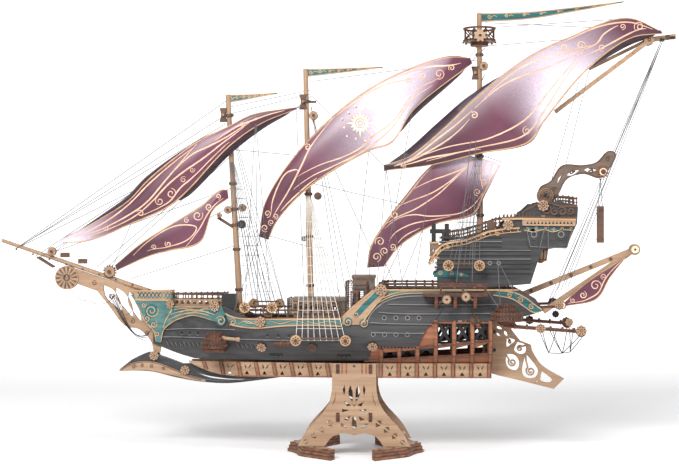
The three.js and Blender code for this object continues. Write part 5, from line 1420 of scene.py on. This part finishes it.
def pennant(word, height, length, rise):
    """A mast with its card flag: teal with gilt edges and curls."""
    foot, (x, _, z) = MASTS[word]
    pole = Piece(f"mast_{word}_pole", "tan_ply", replaces=(f"mast_{word}",))
    run = (Vector((x, 0, z)) - Vector(foot)).length
    pole.turned("ply_turned", foot, Vector((x, 0, z)) - Vector(foot),
                [(2.6, 0), (3.0, 0.4), *[(lerp(3, 2.3, k / 12), run * k / 12) for k in range(1, 12)],
                 (2.3, run - 0.4), (1.9, run)], 20)
    pole.done()
    piece = Piece(f"pennant_{word}", "painted_trim")
    top = smooth([(x, z), (x + length * 0.4, z + rise * 0.15), (x + length, z + rise)], 24)
    low = smooth([(x + length, z + rise - 1), (x + length * 0.4, z - height * 0.6), (x, z - height)], 24)
    for way in (-1, 1):
        surf = upright(0, way)
        piece.slab("teal", surf, [*top, *low], (), -0.1, 0.4, (6, 3))
        face = upright(way * 0.4, way)
        piece.ribbon("gilt", face, [(a, b - 0.5) for a, b in top[:-1]], 1.0, 0.15)
        piece.ribbon("gilt", face, [(a, b + 0.5) for a, b in low[1:]], 1.0, 0.15)
        for k in range(7):
            t = 0.07 + 0.12 * k
            cx = x + length * t
            room = lerp(height, 1, t)
            cz = z + rise * t * t - room * 0.45
            r = room * 0.26
            if r > 0.6:
                piece.ribbon("gilt", face, spiral(cx, cz, r, k, 1.3 if k % 2 else -1.3), 0.7, 0.2)
                piece.ribbon("gilt", face, smooth([(cx + r, cz), (cx + r * 2.2, cz + r * 0.5),
                                                   (cx + r * 3.4, cz)], 8), 0.6, 0.2)
    piece.done()


pennant("fore", 8, 47, 1.5)
pennant("main", 8, 73, 1.5)
pennant("mizzen", 8.5, 134, 10)


def ratlines(word, feet, foot_y, foot_z, top_z, strings, rungs, tone, thick):
    """A shroud net on each side of a mast, from a rail of discs up to the cheeks."""
    piece = Piece(f"ratlines_{word}", "thread", replaces=(f"ratlines_{word}",))
    x = on_mast(word, top_z)
    for side in (-1, 1):
        def point(s, t):
            head = np.array((x + lerp(-1.5, 1.5, s), side * 4.1, top_z))
            foot = np.array((lerp(*feet, s), side * foot_y, foot_z))
            return tuple(head + (foot - head) * t)
        for i in range(strings):
            s = i / (strings - 1)
            piece.tube(tone, [point(s, 0), point(s, 0.5), point(s, 1)], thick)
        for j in range(1, rungs + 1):
            t = 0.12 + 0.86 * j / (rungs + 1)
            piece.tube(tone, [point(s, t) for s in np.linspace(0, 1, 5)], thick * 0.8, 5)
        for s in (0, 1):
            fx, fy, fz = point(s, 1)
            here = lambda a, b, h, fx=fx, fy=fy, fz=fz, side=side: (fx + a, fy + side * h, fz + b)
            piece.slab("gilt", here, circle(0, 0, 4.9, 24), [circle(0, 0, 1.1, 10)], -1.2, 1.2)
            for a, b in circle(0, 0, 3.1, 8):
                piece.slab("black", here, circle(a, b, 0.65, 8), (), 1.0, 1.4)
            eye(piece, lambda a, b, h, here=here: here(a, b, 1.2 + h), 1.8, "bark", "black", 0.5)
        piece.beam("bark", point(0, 0.985), point(1, 0.985), 1.8, 1.4)
    piece.done()


for net in (("fore", (-85, -60), 38, 65, 200, 7, 12, "thread_grey", 0.22),
            ("main", (-37, 8), 52, 36, 168, 9, 13, "thread_white", 0.26),
            ("mizzen", (101, 129), 46, 104, 216.5, 7, 12, "thread_grey", 0.22)):
    ratlines(*net)

threads = Piece("rigging_threads", "thread", replaces=("stays_bow", "stays_aft"))


def line(a, b, thick=0.29):
    """A taut thread."""
    threads.tube("thread_grey", [a, b], thick, 5)


for y, place in ((-1, (-107, -1, 258)), (1, (-106, 1, 246)), (-2, (-108, -2, 236)), (0, (-104, 0, 218))):
    line((-308, y, 118.5), place, 0.319)
line((-290, 1, 111), (-104, 0, 232), 0.319)
line((-40, -10, 250), (-26.5, -4, 262), 0.348)
line((124, -10, 293), (136, -3, 306), 0.348)
for a, b in (((-287, -2, 109), (-27, -2, 258)), ((-272, -2, 115), (-101, -1, 176)),
        ((-217, -2, 97), (-100, -1, 160)), ((-224, -1, 98), (-104, 1, 205)),
        ((-198, 0, 90), (-97, -1, 122)), ((-217, -3, 96), (-176, -14, 186)),
        ((-272, -3, 114), (-226, -12, 146)), ((-230, -2, 101), (-150, -14, 166)),
        ((-40, -10, 250), (-30, -34, 56)), ((-104, -8, 212), (-26, -3, 205)),
        ((-110, -2, 244), (-27, -2, 264)), ((-72, -11, 134), (-95, -36, 62)),
        ((-68, -11, 128), (-46, -36, 56)), ((-70, -11, 132), (-27, -3, 120)),
        ((28, -15, 209), (12, -36, 56)), ((68, -14, 246), (40, -40, 80)),
        ((122, -10, 296), (136, -3, 320)), ((44, -14, 194), (-26, -3, 262)),
        ((44, -14, 192), (36, -40, 82)), ((87, -14, 197), (70, -40, 82)), ((44, -14, 194), (60, -38, 82)),
        ((28, -7, 103), (30, -36, 82)), ((44, -7, 104), (54, -38, 82)), ((103, -7, 210), (135, -3, 232)),
        ((152, -6, 199), (136, -3, 205)), ((136, 0, 330), (298, -10, 320)),
        ((136, -1, 325), (265, -12, 331)), ((136, 0, 308), (211, -14, 312)),
        ((-25.6, 0, 180), (60, -12, 160)), ((231, -14, 283), (200, -29, 162)),
        ((222, -15, 274), (190, -29, 162)), ((136, 0, 240), (62, -9, 168)), ((-26, 0, 240), (29, -8, 120)),
        ((-26.4, 0, 276), (136, 0, 296)), ((-26.4, 0, 268), (-105, 0, 252)), ((136, 0, 282), (40, 6, 84)),
        ((136, 0, 282), (56, 8, 82))):
    line(a, b)
for x, y, z in ((-62, -20, 54), (-54, -30, 54), (-46, -34, 54)):
    line((-104, -1, 244), (x, y, z))
    line((-27, -1, 254), (x + 66, y, z))
for foot in ((-86, -34, 56), (-73, -36, 54), (-60, -38, 54)):
    line((-78, -12, 242), foot)
for side in (-1, 1):  # clear of the crane's swing on both sides
    for x, y, z in ((205, 14, 80), (196, 12, 68), (212, 14, 84)):
        line((300, side * 6.5, 312), (x, side * y, z))
threads.done()


# ---------- Head: figurehead, bowsprit, ram ----------
fittings = Piece("bowsprit_fittings", "brown_ply")
for x, z, r in ((-272.5, 115.8, 4.2), (-217.3, 96.8, 5.0)):
    pulley(fittings, x, -3.4, z, r)
fittings.slab("bark", upright(-2.6, -1), gear_outline(-217.3, 96.8, 6.6, 5.2, 14), (), 0, 1.2)
for y in (-3.4, 3.4):
    fittings.beam("bark", (-287, y, 110.5), (-271.6, y, 101.1), 2.2, 1.6)
fittings.beam("bark", (-281, -3.4, 107), (-284, 3.4, 108.8), 2.0, 1.8)
for x, z in ((-261, 112.5), (-244, 106.6)):
    for ys in ((-3.9, -2.6), (2.6, 3.9)):
        fittings.block("bark", (x - 3.6, x + 3.6), ys, (z - 2.2, z + 2.2), 0.3)
for k in range(9):
    x, z = lerp(-307, -180, k / 8), lerp(118, 80, k / 8)
    fittings.turned("bark", (x, -2.9, z), (0, -1, 0), [(0.9, -0.4), (0.9, 0.5), (0.5, 0.8)], 8)
fittings.done()


def hang(a, b, drop, n):
    """A thread's points from a to b, its middle drop below the straight."""
    return [(lerp(a[0], b[0], k / n), lerp(a[1], b[1], k / n),
             lerp(a[2], b[2], k / n) - drop * 4 * (k / n) * (1 - k / n))
            for k in range(n + 1)]


loops = Piece("head_lines", "thread")
for a, b, drop in (((-268, -2.6, 107), (-238, -2.6, 70), 12), ((-238, -2.8, 70), (-214, -2.8, 72), 5),
                   ((-262, 2.6, 105), (-222, 2.6, 84), 6), ((-214, -4, 76), (-196, -4, 60), 10)):
    loops.tube("thread_grey", hang(a, b, drop, 12), 0.25)
for k in range(5):
    loops.tube("thread", hang((-218 + 2 * k, -3, 76 - k), (-183 + 2 * k, -7 - 2 * k, 32 + 3 * k), 9 + 2.5 * k,
                              14), 0.28)
loops.done()


# ---------- Turrets: stacks of discs on pins ----------
PIN_BORE = 1.75
# Each layer: its radius, its bottom and top over the shelf, its finish and its count of teeth.
FORE_STACK = ((12.4, 0, 1.5, "rust_z", 0), (12.5, 1.5, 3.4, "bark", 26), (11.6, 3.4, 5.0, "rust_z", 0),
              (11.2, 5.0, 6.8, "bark", 24), (9.4, 6.8, 8.4, "ply_z", 0), (9.0, 8.4, 10.2, "bark", 20),
              (7.6, 10.2, 12.4, "rust_z", 0), (6.8, 12.4, 14.2, "bark", 16))
AFT_STACK = ((14.8, 0, 1.6, "rust_z", 0), (15, 1.6, 4.0, "bark", 30), (14.4, 4.0, 5.6, "rust_z", 0),
             (14.8, 5.6, 8.0, "bark", 30), (9.8, 8.0, 9.6, "ply_z", 0), (10, 9.6, 11.8, "bark", 22),
             (7.6, 11.8, 13.4, "rust_z", 0), (7.6, 13.4, 15.4, "bark", 18))
BARREL = [(0.6, 0), (2.2, 0.2), (2.2, 4), (1.7, 4.4), (1.5, 14), (2.0, 14.6), (2.0, 17.4), (0.8, 18)]


def turret(body, stack, screws_r, screws_h):
    low, high = cad(body)
    fore = stack is FORE_STACK  # the barrel takes the box's middle off the pin
    x, z = (TURRET_FORE_X, TURRET_FORE_Z) if fore else ((low.x + high.x) / 2, low.z)
    y = (low.y + high.y) / 2
    piece = Piece(body + "_discs", "brown_ply", body=body, replaces=(body,))
    for r, z0, z1, tone, teeth in stack:
        outline = gear_outline(x, y, r, r - 1.3, teeth) if teeth else circle(x, y, r, 40)
        piece.slab(tone, level(0), outline, [circle(x, y, PIN_BORE, 16)], z + z0, z + z1)
    if fore:
        piece.turned("ply_turned", (x + 6, y, z + 9.2), (1, 0, -0.08), BARREL, 16)
    for a, b in circle(x, y, screws_r, 6):
        piece.slab("black", level(z + stack[-1][2]), circle(a, b, 0.7, 8), (), -0.1, screws_h)
    piece.done()


for word, _ in SIDES:
    turret(f"turret_fore_{word}", FORE_STACK, 4.6, 0.3)
    turret(f"turret_aft_{word}", AFT_STACK, 4.8, 0.2)


# ---------- Stern fin, outrigger and its net ----------
def leaf(a, b, wide, lean=0.0):
    """A leaf-shaped cell between two points; its widths are shares of its length."""
    (ax, az), (bx, bz) = a, b
    dx, dz = bx - ax, bz - az
    off = lambda share, wide: (ax + dx * share - dz * wide, az + dz * share + dx * wide)
    return [a, off(0.3, wide), off(0.65, wide * 0.8 + lean), b, off(0.65, lean - wide * 0.8), off(0.3, -wide)]


fin = Piece("stern_fin_fret", "tan_ply", replaces=("stern_fin",))
outline = [(141.3, 2.5), *smooth([(150, 0), (166, -3.5), (186, -8.5), (200, -12)], 14), (209.6, -2.2),
           *smooth([(209.6, -2.2), (190, 9.5), (181, 22), (179, 29)], 14)[1:], (169, 33), (161, 43),
           (159, 50.7), (141.3, 50.7)]
cells = [leaf((147, 46), (152, 43.5), 0.2), leaf((154, 42), (157, 37), 0.2), leaf((147, 40), (150, 37), 0.2)]
windows = [[(156.6, 36), (164, 33.4), (160.6, 29.6), (156.4, 27.4)],
           [(166.4, 31.6), (173.6, 29), (173.8, 22), (168.6, 20.4), (163.4, 24.4)],
           [(156, 20.4), (163.6, 19.6), (168, 13), (166, 5.6), (159.4, 6.4), (155.8, 12)],
           [(174, 20.6), (181, 12.6), (185.6, 5), (182.6, -1.6), (174, -1.4), (170.6, 6)],
           [(189, 4.4), (198, -2.6), (196, -6), (188, -4)]]
holes = [smooth([*cell, cell[0]], 24)[:-1] for cell in (*cells,
                                                        *([*window, window[0]] for window in windows))]
holes.append(circle(184.6, -5.4, 0.7, 10))
for side in (-1, 1):
    fin.slab("ply_y", upright(0, side), outline, holes, 0.0, 1.5)
    for cx, cz, r, start, turns, tail in ((178.6, 4.4, 4.4, 2.2, 1.6, (174, 20.8)),
                                          (161.6, 12.6, 3.9, 2.4, 1.5, (156, 20.6)),
                                          (168.6, 25.6, 3.0, 0.6, 1.4, (174, 28.4)),
                                          (159.4, 31.6, 1.7, 1.2, 1.2, (157, 36))):
        curl = spiral(cx, cz, r, start, turns)
        stem = [curl[0], ((curl[0][0] + tail[0]) / 2 - 0.6, (curl[0][1] + tail[1]) / 2), tail]
        for path in (curl, stem):
            fin.ribbon("ply_y", upright(0, side), path, 1.5, 1.4)
    for z in (14, 30, 46):
        fin.ribbon("bark", upright(side * 1.5, side), [(142.4, z - 5), (142.4, z + 5)], 0.6, 0.2)
fin.done()

tabs = Piece("fin_tabs", "dark_ply")
for z in (24, 41):
    for xs, y, half in (((136, 146), 2.8, 1.4), ((139.2, 142.2), 4, 2.6)):
        tabs.block("black", xs, (-y, y), (z - half, z + half), 0.3)
tabs.done()

outrigger = Piece("outrigger_fittings", "brown_ply")
for side in (-1, 1):
    for k in range(6):
        x = 160 + 10.5 * k
        outrigger.turned("bark", (x, side * 59.6, 51 - 0.07 * (x - 150)), (1, 0, -0.07),
                         [(1.9, -1), (2.5, -0.6), (2.5, 0.6), (1.9, 1)], 10)
    for y, x, z, r in ((61.2, 218.4, 46.6, 4.6), (61.2, 182.6, 48.4, 4.2), (61.2, 207.9, 54.2, 3.4),
                       (30, 202.1, 67.5, 4.2)):
        rosette(outrigger, tangent(upright(side * y, side), x, z), r, h=0.4)
    outrigger.beam("rust_x", (150, side * 30, 64.5), (204, side * 30, 66.5), 2.4, 2.4)
outrigger.done()

net = Piece("stern_net", "thread")
feet = [(191, 25.6), (203, 25.2), (210, 26.4)]
for x0, z0, foot, y in ((181, 50, 0, -57), (184, 50, 0, -55), (190, 49.4, 1, -56), (193, 49, 1, -54),
                        (198, 48.6, 0, -52),
                        (207, 48, 1, -50), (222, 46.4, 1, -56), (224, 46, 2, -54), (210, 48, 2, -40),
                        (213, 48, 2, -42)):
    fx, fz = feet[foot]
    bow = 0.6 if x0 < fx else -0.6
    net.tube("thread", [(lerp(x0, fx, t) - bow * 4 * t * (1 - t), lerp(y, -48, t),
                         lerp(z0, fz, t)) for t in np.linspace(0, 1, 9)], 0.34, 6)
net.tube("thread", hang((191, -48, 25.6), (210, -48, 26.4), 0.75, 8), 0.3, 6)
net.done()


# ---------- Crane ----------
DRUM_PIN, TIP_PIN = (192.4, 168.3), (245.4, 190.3)  # x and z
ARM_HALF = 3.0
arm = Piece("crane_arm_plates", "tan_ply", body="crane_arm", replaces=("crane_arm",))
outline = smooth([(197, 160), (204, 170), (212, 184), (228, 189), (243, 185), (252, 195), (257, 206),
                  (250, 209), (240, 199),
                  (226, 196), (208, 196), (198, 182), (188, 176), (186, 166), (197, 160)], 60)[1:]
for side in (-1, 1):
    arm.slab("taupe", upright(0, side), outline,
             [circle(*DRUM_PIN, 2.7, 16), [(203, 178), (208, 188), (204, 184)],
                                      leaf((212, 187), (224, 192), 0.14), leaf((228, 192), (240, 192), 0.16)],
             0.15, ARM_HALF)
    rimmed = upright(side * ARM_HALF, side)
    arm.ribbon("bark", rimmed, outline + outline[:2], 1.1, 0.35)
    for cx, cz, r, s, t in ((217, 190, 2.6, 0, 1.3), (234, 191, 2.6, 2, -1.3), (250, 202, 2.6, 1, 1.3),
                            (200, 174, 2.2, 0, 1.3)):
        arm.ribbon("bark", rimmed, spiral(cx, cz, r, s, t), 0.8, 0.4)
arm.turned("bark", (245.4, -3.0, 190.3), (0, -1, 0),
           [(1.5, -0.6), (1.5, 3.4), (2.0, 3.5), (2.0, 4.2), (1.0, 4.5)], 14)
arm.done()

hub = Piece("crane_drum_rings", "tan_ply")
for side in (-1, 1):
    face = upright(side * -cad("crane_drum")[0].y, side)
    for outer, inner in ((7.6, 6.8), (5.8, 5.0), (4.0, 3.3)):
        hub.slab("bark", face, circle(*DRUM_PIN, outer, 28), [circle(*DRUM_PIN, inner, 22)], -0.3, 0.25)
    hub.slab("black", face, circle(*DRUM_PIN, 2.2, 28), (), -0.3, 0.25)
hub.done()

wheel = Piece("crane_sprocket_teeth", "brown_ply", body="crane_sprocket", replaces=("crane_sprocket",))
low, high = cad("crane_sprocket")
for side, y in ((-1, low.y), (1, high.y)):
    face = upright((low.y + high.y) / 2, side)
    wheel.slab("rust_y", face, gear_outline(*TIP_PIN, 5.6, 4.2, 10), [circle(*TIP_PIN, 1.65, 14)], 0.0,
               (high.y - low.y) / 2)
    over = upright(y, side)
    wheel.slab("cream", over, circle(*TIP_PIN, 3.4, 18), [circle(*TIP_PIN, 2.5, 14)], -0.2, 0.2)
wheel.done()

weight = Piece("crane_weight_slab", "brown_ply", body="crane_weight", replaces=("crane_weight",))
low, high = cad("crane_weight")
mid_x, mid_y = (low.x + high.x) / 2, (low.y + high.y) / 2
weight.block("bark", (mid_x - 3, mid_x + 3), (mid_y - 3, mid_y + 3), (low.z, low.z + 34), 0.3)
for z in (low.z + 3, low.z + 30):
    weight.block("bark", (mid_x - 3.2, mid_x + 3.2), (mid_y - 3.2, mid_y + 3.2), (z - 0.7, z + 0.7), 0.2)
for dx in (-2, 2):
    weight.tube("thread_grey", [(mid_x, mid_y, high.z - 0.6), (mid_x + dx, mid_y, low.z + 33.4)], 0.3, 6)
weight.turned("bark", (mid_x, mid_y - 1, high.z - 0.9), (0, 1, 0),
              [(0.8, 0), (0.9, 0.3), (0.9, 1.7), (0.8, 2)], 12)
weight.done()


# ---------- Crow's nest and booms ----------
nest = Piece("crows_nest_lattice", "brown_ply")
x = on_mast("mizzen", 318)
corners = circle(x, 0, 14.2, 8, pi / 8)
for p, q in zip(corners, [*corners[1:], corners[0]]):
    nest.tube("bark", [(*p, 314.5), (*q, 323)], 0.55, 5)
    nest.tube("bark", [(*q, 314.5), (*p, 323)], 0.55, 5)
for spot in circle(x, 0, 15.0, 10):
    nest.turned("bark", (*spot, 310.6), (0, 0, 1), [(0.7, 0), (1.1, 0.8), (0.7, 1.6)], 8)
nest.slab("ply_y", upright(-15.6, -1), gear_outline(x, 316, 6.0, 4.6, 8), [circle(x, 316, 1.4, 12)], 0, 1.4)
nest.slab("black", upright(-15.6, -1), circle(x, 316, 1.4, 12), (), 0, 1.0)
nest.turned("bark", (x, 0, 308), (0, 0, 1), [(3.6, 0), (5.4, 1.6), (8.6, 3.6), (8.6, 4.0), (3.6, 4.1)], 20)
nest.done()

booms = Piece("boom_scrolls", "tan_ply")
for k in range(12):  # notches along the arm's upper edge
    t = (k + 0.5) / 12
    booms.turned("ply_y", (lerp(284, 203, t), -4.6, lerp(310.6, 249.4, t)), (0, 1, 0),
                 [(0.5, 0), (0.8, 0.2), (0.8, 3.2), (0.5, 3.4)], 8)
for x, z in ((309.5, 314.6), (300, 312.6)):
    booms.block("black", (x - 2, x + 2), (-2.6, 2.6), (z - 1.2, z + 1.2), 0.3)
for k in range(4):
    t = (k + 0.5) / 4
    pulley(booms, lerp(281, 215, t), 0.2, lerp(306.5, 256.6, t), 1.9, "taupe")
pulley(booms, 287.6, 0, 312.4, 5.0)
pulley(booms, 305, -1, 315, 2.4, "bark")
for k in range(5):
    t = (k + 0.5) / 5
    cx, cz = lerp(170, 262, t), lerp(75.6, 112.8, t)
    booms.turned("bark", (cx, -0.6, cz), (0, 1, 0), [(1.5, 0), (1.7, 0.3), (1.7, 4), (1.5, 4.3)], 12)
for x0, z0, r in ((274.9, 118, 3.4), (207.8, 66, 2.6)):
    for side, y in ((-1, -1.25), (1, 4.2)):
        eye(booms, tangent(upright(y, side), x0, z0), r, "cream", "bark", 0.2)
booms.done()


# ---------- Boat hoists under the winch platform, and the head's rosette ----------
hoists = Piece("boat_hoists", "brown_ply")
for x in (89.7, 106.3, 124.2):
    hoists.beam("bark", (x, -57.5, 60), (x, -57.5, 84), 2.0, 2.0)
    hoists.turned("bark", (x, -57.5, 84), (0, 0, 1), [(1.2, -0.4), (1.5, 0.5), (0.8, 1.8)], 8)
for x, z, bx, bz in ((99.2, 73.8, 89.2, 55), (116.3, 76.3, 127.2, 52)):
    hoists.slab("ply_y", upright(-59.5, -1), gear_outline(x, z, 4.2, 3.3, 14), [circle(x, z, 1.1, 10)], 0,
                1.4)
    hoists.beam("bark", (x, -59, z), (x + (7 if x > 105 else -7), -59, z - 3), 1.8, 1.6)
    hoists.tube("thread", [(x, -60.2, z - 3.8), ((x + bx) / 2, -60.4, (z + bz) / 2 - 1.6), (bx, -60, bz)],
                0.4, 6)
    hoists.turned("rust_z", (bx, -60, bz - 3.6), (0, 0, 1), [(0.8, 0), (2.2, 0.8), (2.2, 2.8), (0.8, 3.8)],
                  12)
hoists.done()

head = Piece("figurehead_fret", "tan_ply", replaces=("figurehead",))
outline = [(-170, 72.6), (-228, 91.8), (-250, 99.4), (-262, 90), (-246, 84),
           *smooth([(-230, 78.5), (-219, 65), (-204, 46), (-190, 42.4), (-179, 32), (-176, 22)], 20),
           (-170, 20), (-168, 31)]
cells = [leaf((-224, 84), (-206, 60), 0.16), leaf((-212, 82), (-196, 54), 0.15, 0.03),
         leaf((-200, 78), (-188, 50), 0.14), leaf((-186, 72), (-178, 46), 0.14)]
holes = [smooth([*cell, cell[0]], 24)[:-1] for cell in cells]
for side in (-1, 1):
    face = upright(side * 1.5, side)
    head.slab("ply_y", upright(0, side), outline, holes, 0.0, 1.5)
    for curl in ((-216, 73, 3.0, 0, 1.3), (-196, 50, 2.6, 2, -1.3), (-232, 86, 2.6, 1, 1.3),
                 (-182, 38, 2.4, 1, 1.3)):
        head.ribbon("bark", face, spiral(*curl), 0.8, 0.3, 0.1, 0.6)
    disc_face = tangent(upright(side * 2.4, side), -258.9, 91)
    head.slab("ply_y", disc_face, circle(0, 0, 11.2, 34), [circle(0, 0, 2.0, 12)], -2.4, 0)
    for k in range(14):
        a = 2 * pi * k / 14
        ray = [(3.6, a), (10.2, a + 0.16), (10.2, a - 0.04)]
        head.slab("bark", disc_face, [(r * cos(t), r * sin(t)) for r, t in ray], (), -0.2, 0.3)
    head.slab("bark", disc_face, circle(0, 0, 3.3, 18), [circle(0, 0, 2.1, 14)], -0.2, 0.5)
head.done()


# ---------- Ram ----------
ram = Piece("ram_plates", "dark_ply", replaces=("ram",))
under = smooth([(-51, -1.4), (-75, -4.8), (-105, -8), (-132, -6.5), (-154, -2.8), (-180, 3), (-208, 3)], 30)
upper = [(-208, 4.5), *smooth([(-196, 14), (-182, 20.5), (-176, 19.8), (-160, 14.5), (-148, 10)], 20),
         *[(x, band_foot(x) - 0.3) for x in (-138, -132, -125, -118, -110, -102, -95)], (-51, -0.3)]
slot = smooth([(-140, 3.2), (-122, -1.4), (-100, -4), (-78, -3.6), (-98, -5.2), (-122, -3.4), (-140, 3.2)],
              40)[:-1]
for side in (-1, 1):
    ram.slab("char", upright(0, side), [*upper, *under], [slot], 0, 3.4)
    over = upright(side * 3.4, side)
    blade = smooth([(-207.6, 4.2), (-196, 10.5), (-182, 12.6), (-168, 10), (-154, 4.4), (-140, -1.6),
                    (-126, -5)], 34)
    edge = smooth([(-126, -6.6), (-140, -4.6), (-154, -1.6), (-168, 1.4), (-182, 4), (-196, 3.6),
                   (-207.6, 3.4)], 34)
    ram.slab("ply_y", over, [*blade, *edge], (), -0.2, 1.1)
    face = upright(side * 4.5, side)
    ram.ribbon("bark", face, [(x, z - 0.9) for x, z in blade[1:-2]], 0.7, 0.2)
    for cx, cz, r, start, turns in ((-194, 7, 2.2, 0, 1.3), (-186.5, 8.4, 1.8, 2, -1.3),
                                    (-177, 7.6, 2.0, 1, 1.3), (-166, 5.4, 1.6, 3, -1.3)):
        ram.ribbon("bark", face, spiral(cx, cz, r, start, turns), 0.7, 0.2)
    ram.ribbon("plank", over, smooth([(-150, 2.6), (-130, -3.6), (-104, -6), (-74, -3.4)], 24), 0.6, 0.3)
    for x, z in ((-174.9, 17.8), (-145.4, 4.3)):
        rosette(ram, tangent(upright(side * 3.4, side), x, z), 4.2, h=0.8)
ram.done()


# ---------- Threads down the castle's port side ----------
shrouds = Piece("castle_threads", "thread")
for top, low in (((127, -5, 262), (108, -60, 89.5)), ((128.6, -5, 262), (121.8, -60, 89.5)),
                 ((145.5, -44, 109), (147.2, -58, 66)), ((145.5, -44, 109), (163, -58, 73)),
                 ((135.5, -58, 82), (145.5, -60, 66.5))):
    shrouds.tube("thread_grey", hang(top, low, 0, 8), 0.3, 6)
shrouds.done()


# ---------- What is carried over from the CAD ----------
dress("ply_y", "tan_ply", "keel_spine", "mizzen_boom", "spanker_yard", "crane_drum")
dress("ply_x", "tan_ply", "stand_tie_fore", "stand_tie_aft", "frame_stand_fore", "frame_stand_aft",
      "frame_gallery", "frame_stern")
dress("foot", "tan_ply", "stand_foot_fore", "stand_foot_aft")
dress("ply_z", "tan_ply", "keel_plate", "deck_fore", "deck_main", "deck_quarter", "crows_nest")
dress("ply_turned", "tan_ply", "bowsprit")
dress("boards", "brown_ply", "deckhouse", "quarter_house")
dress("rust_z", "brown_ply", "outrigger_frame", "winch_platform")
dress("char_edge", "dark_ply", "castle_side_port", "castle_side_starboard", "castle_deck", "castle_transom")

# ---------- The object's size ---------------------------
low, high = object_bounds()
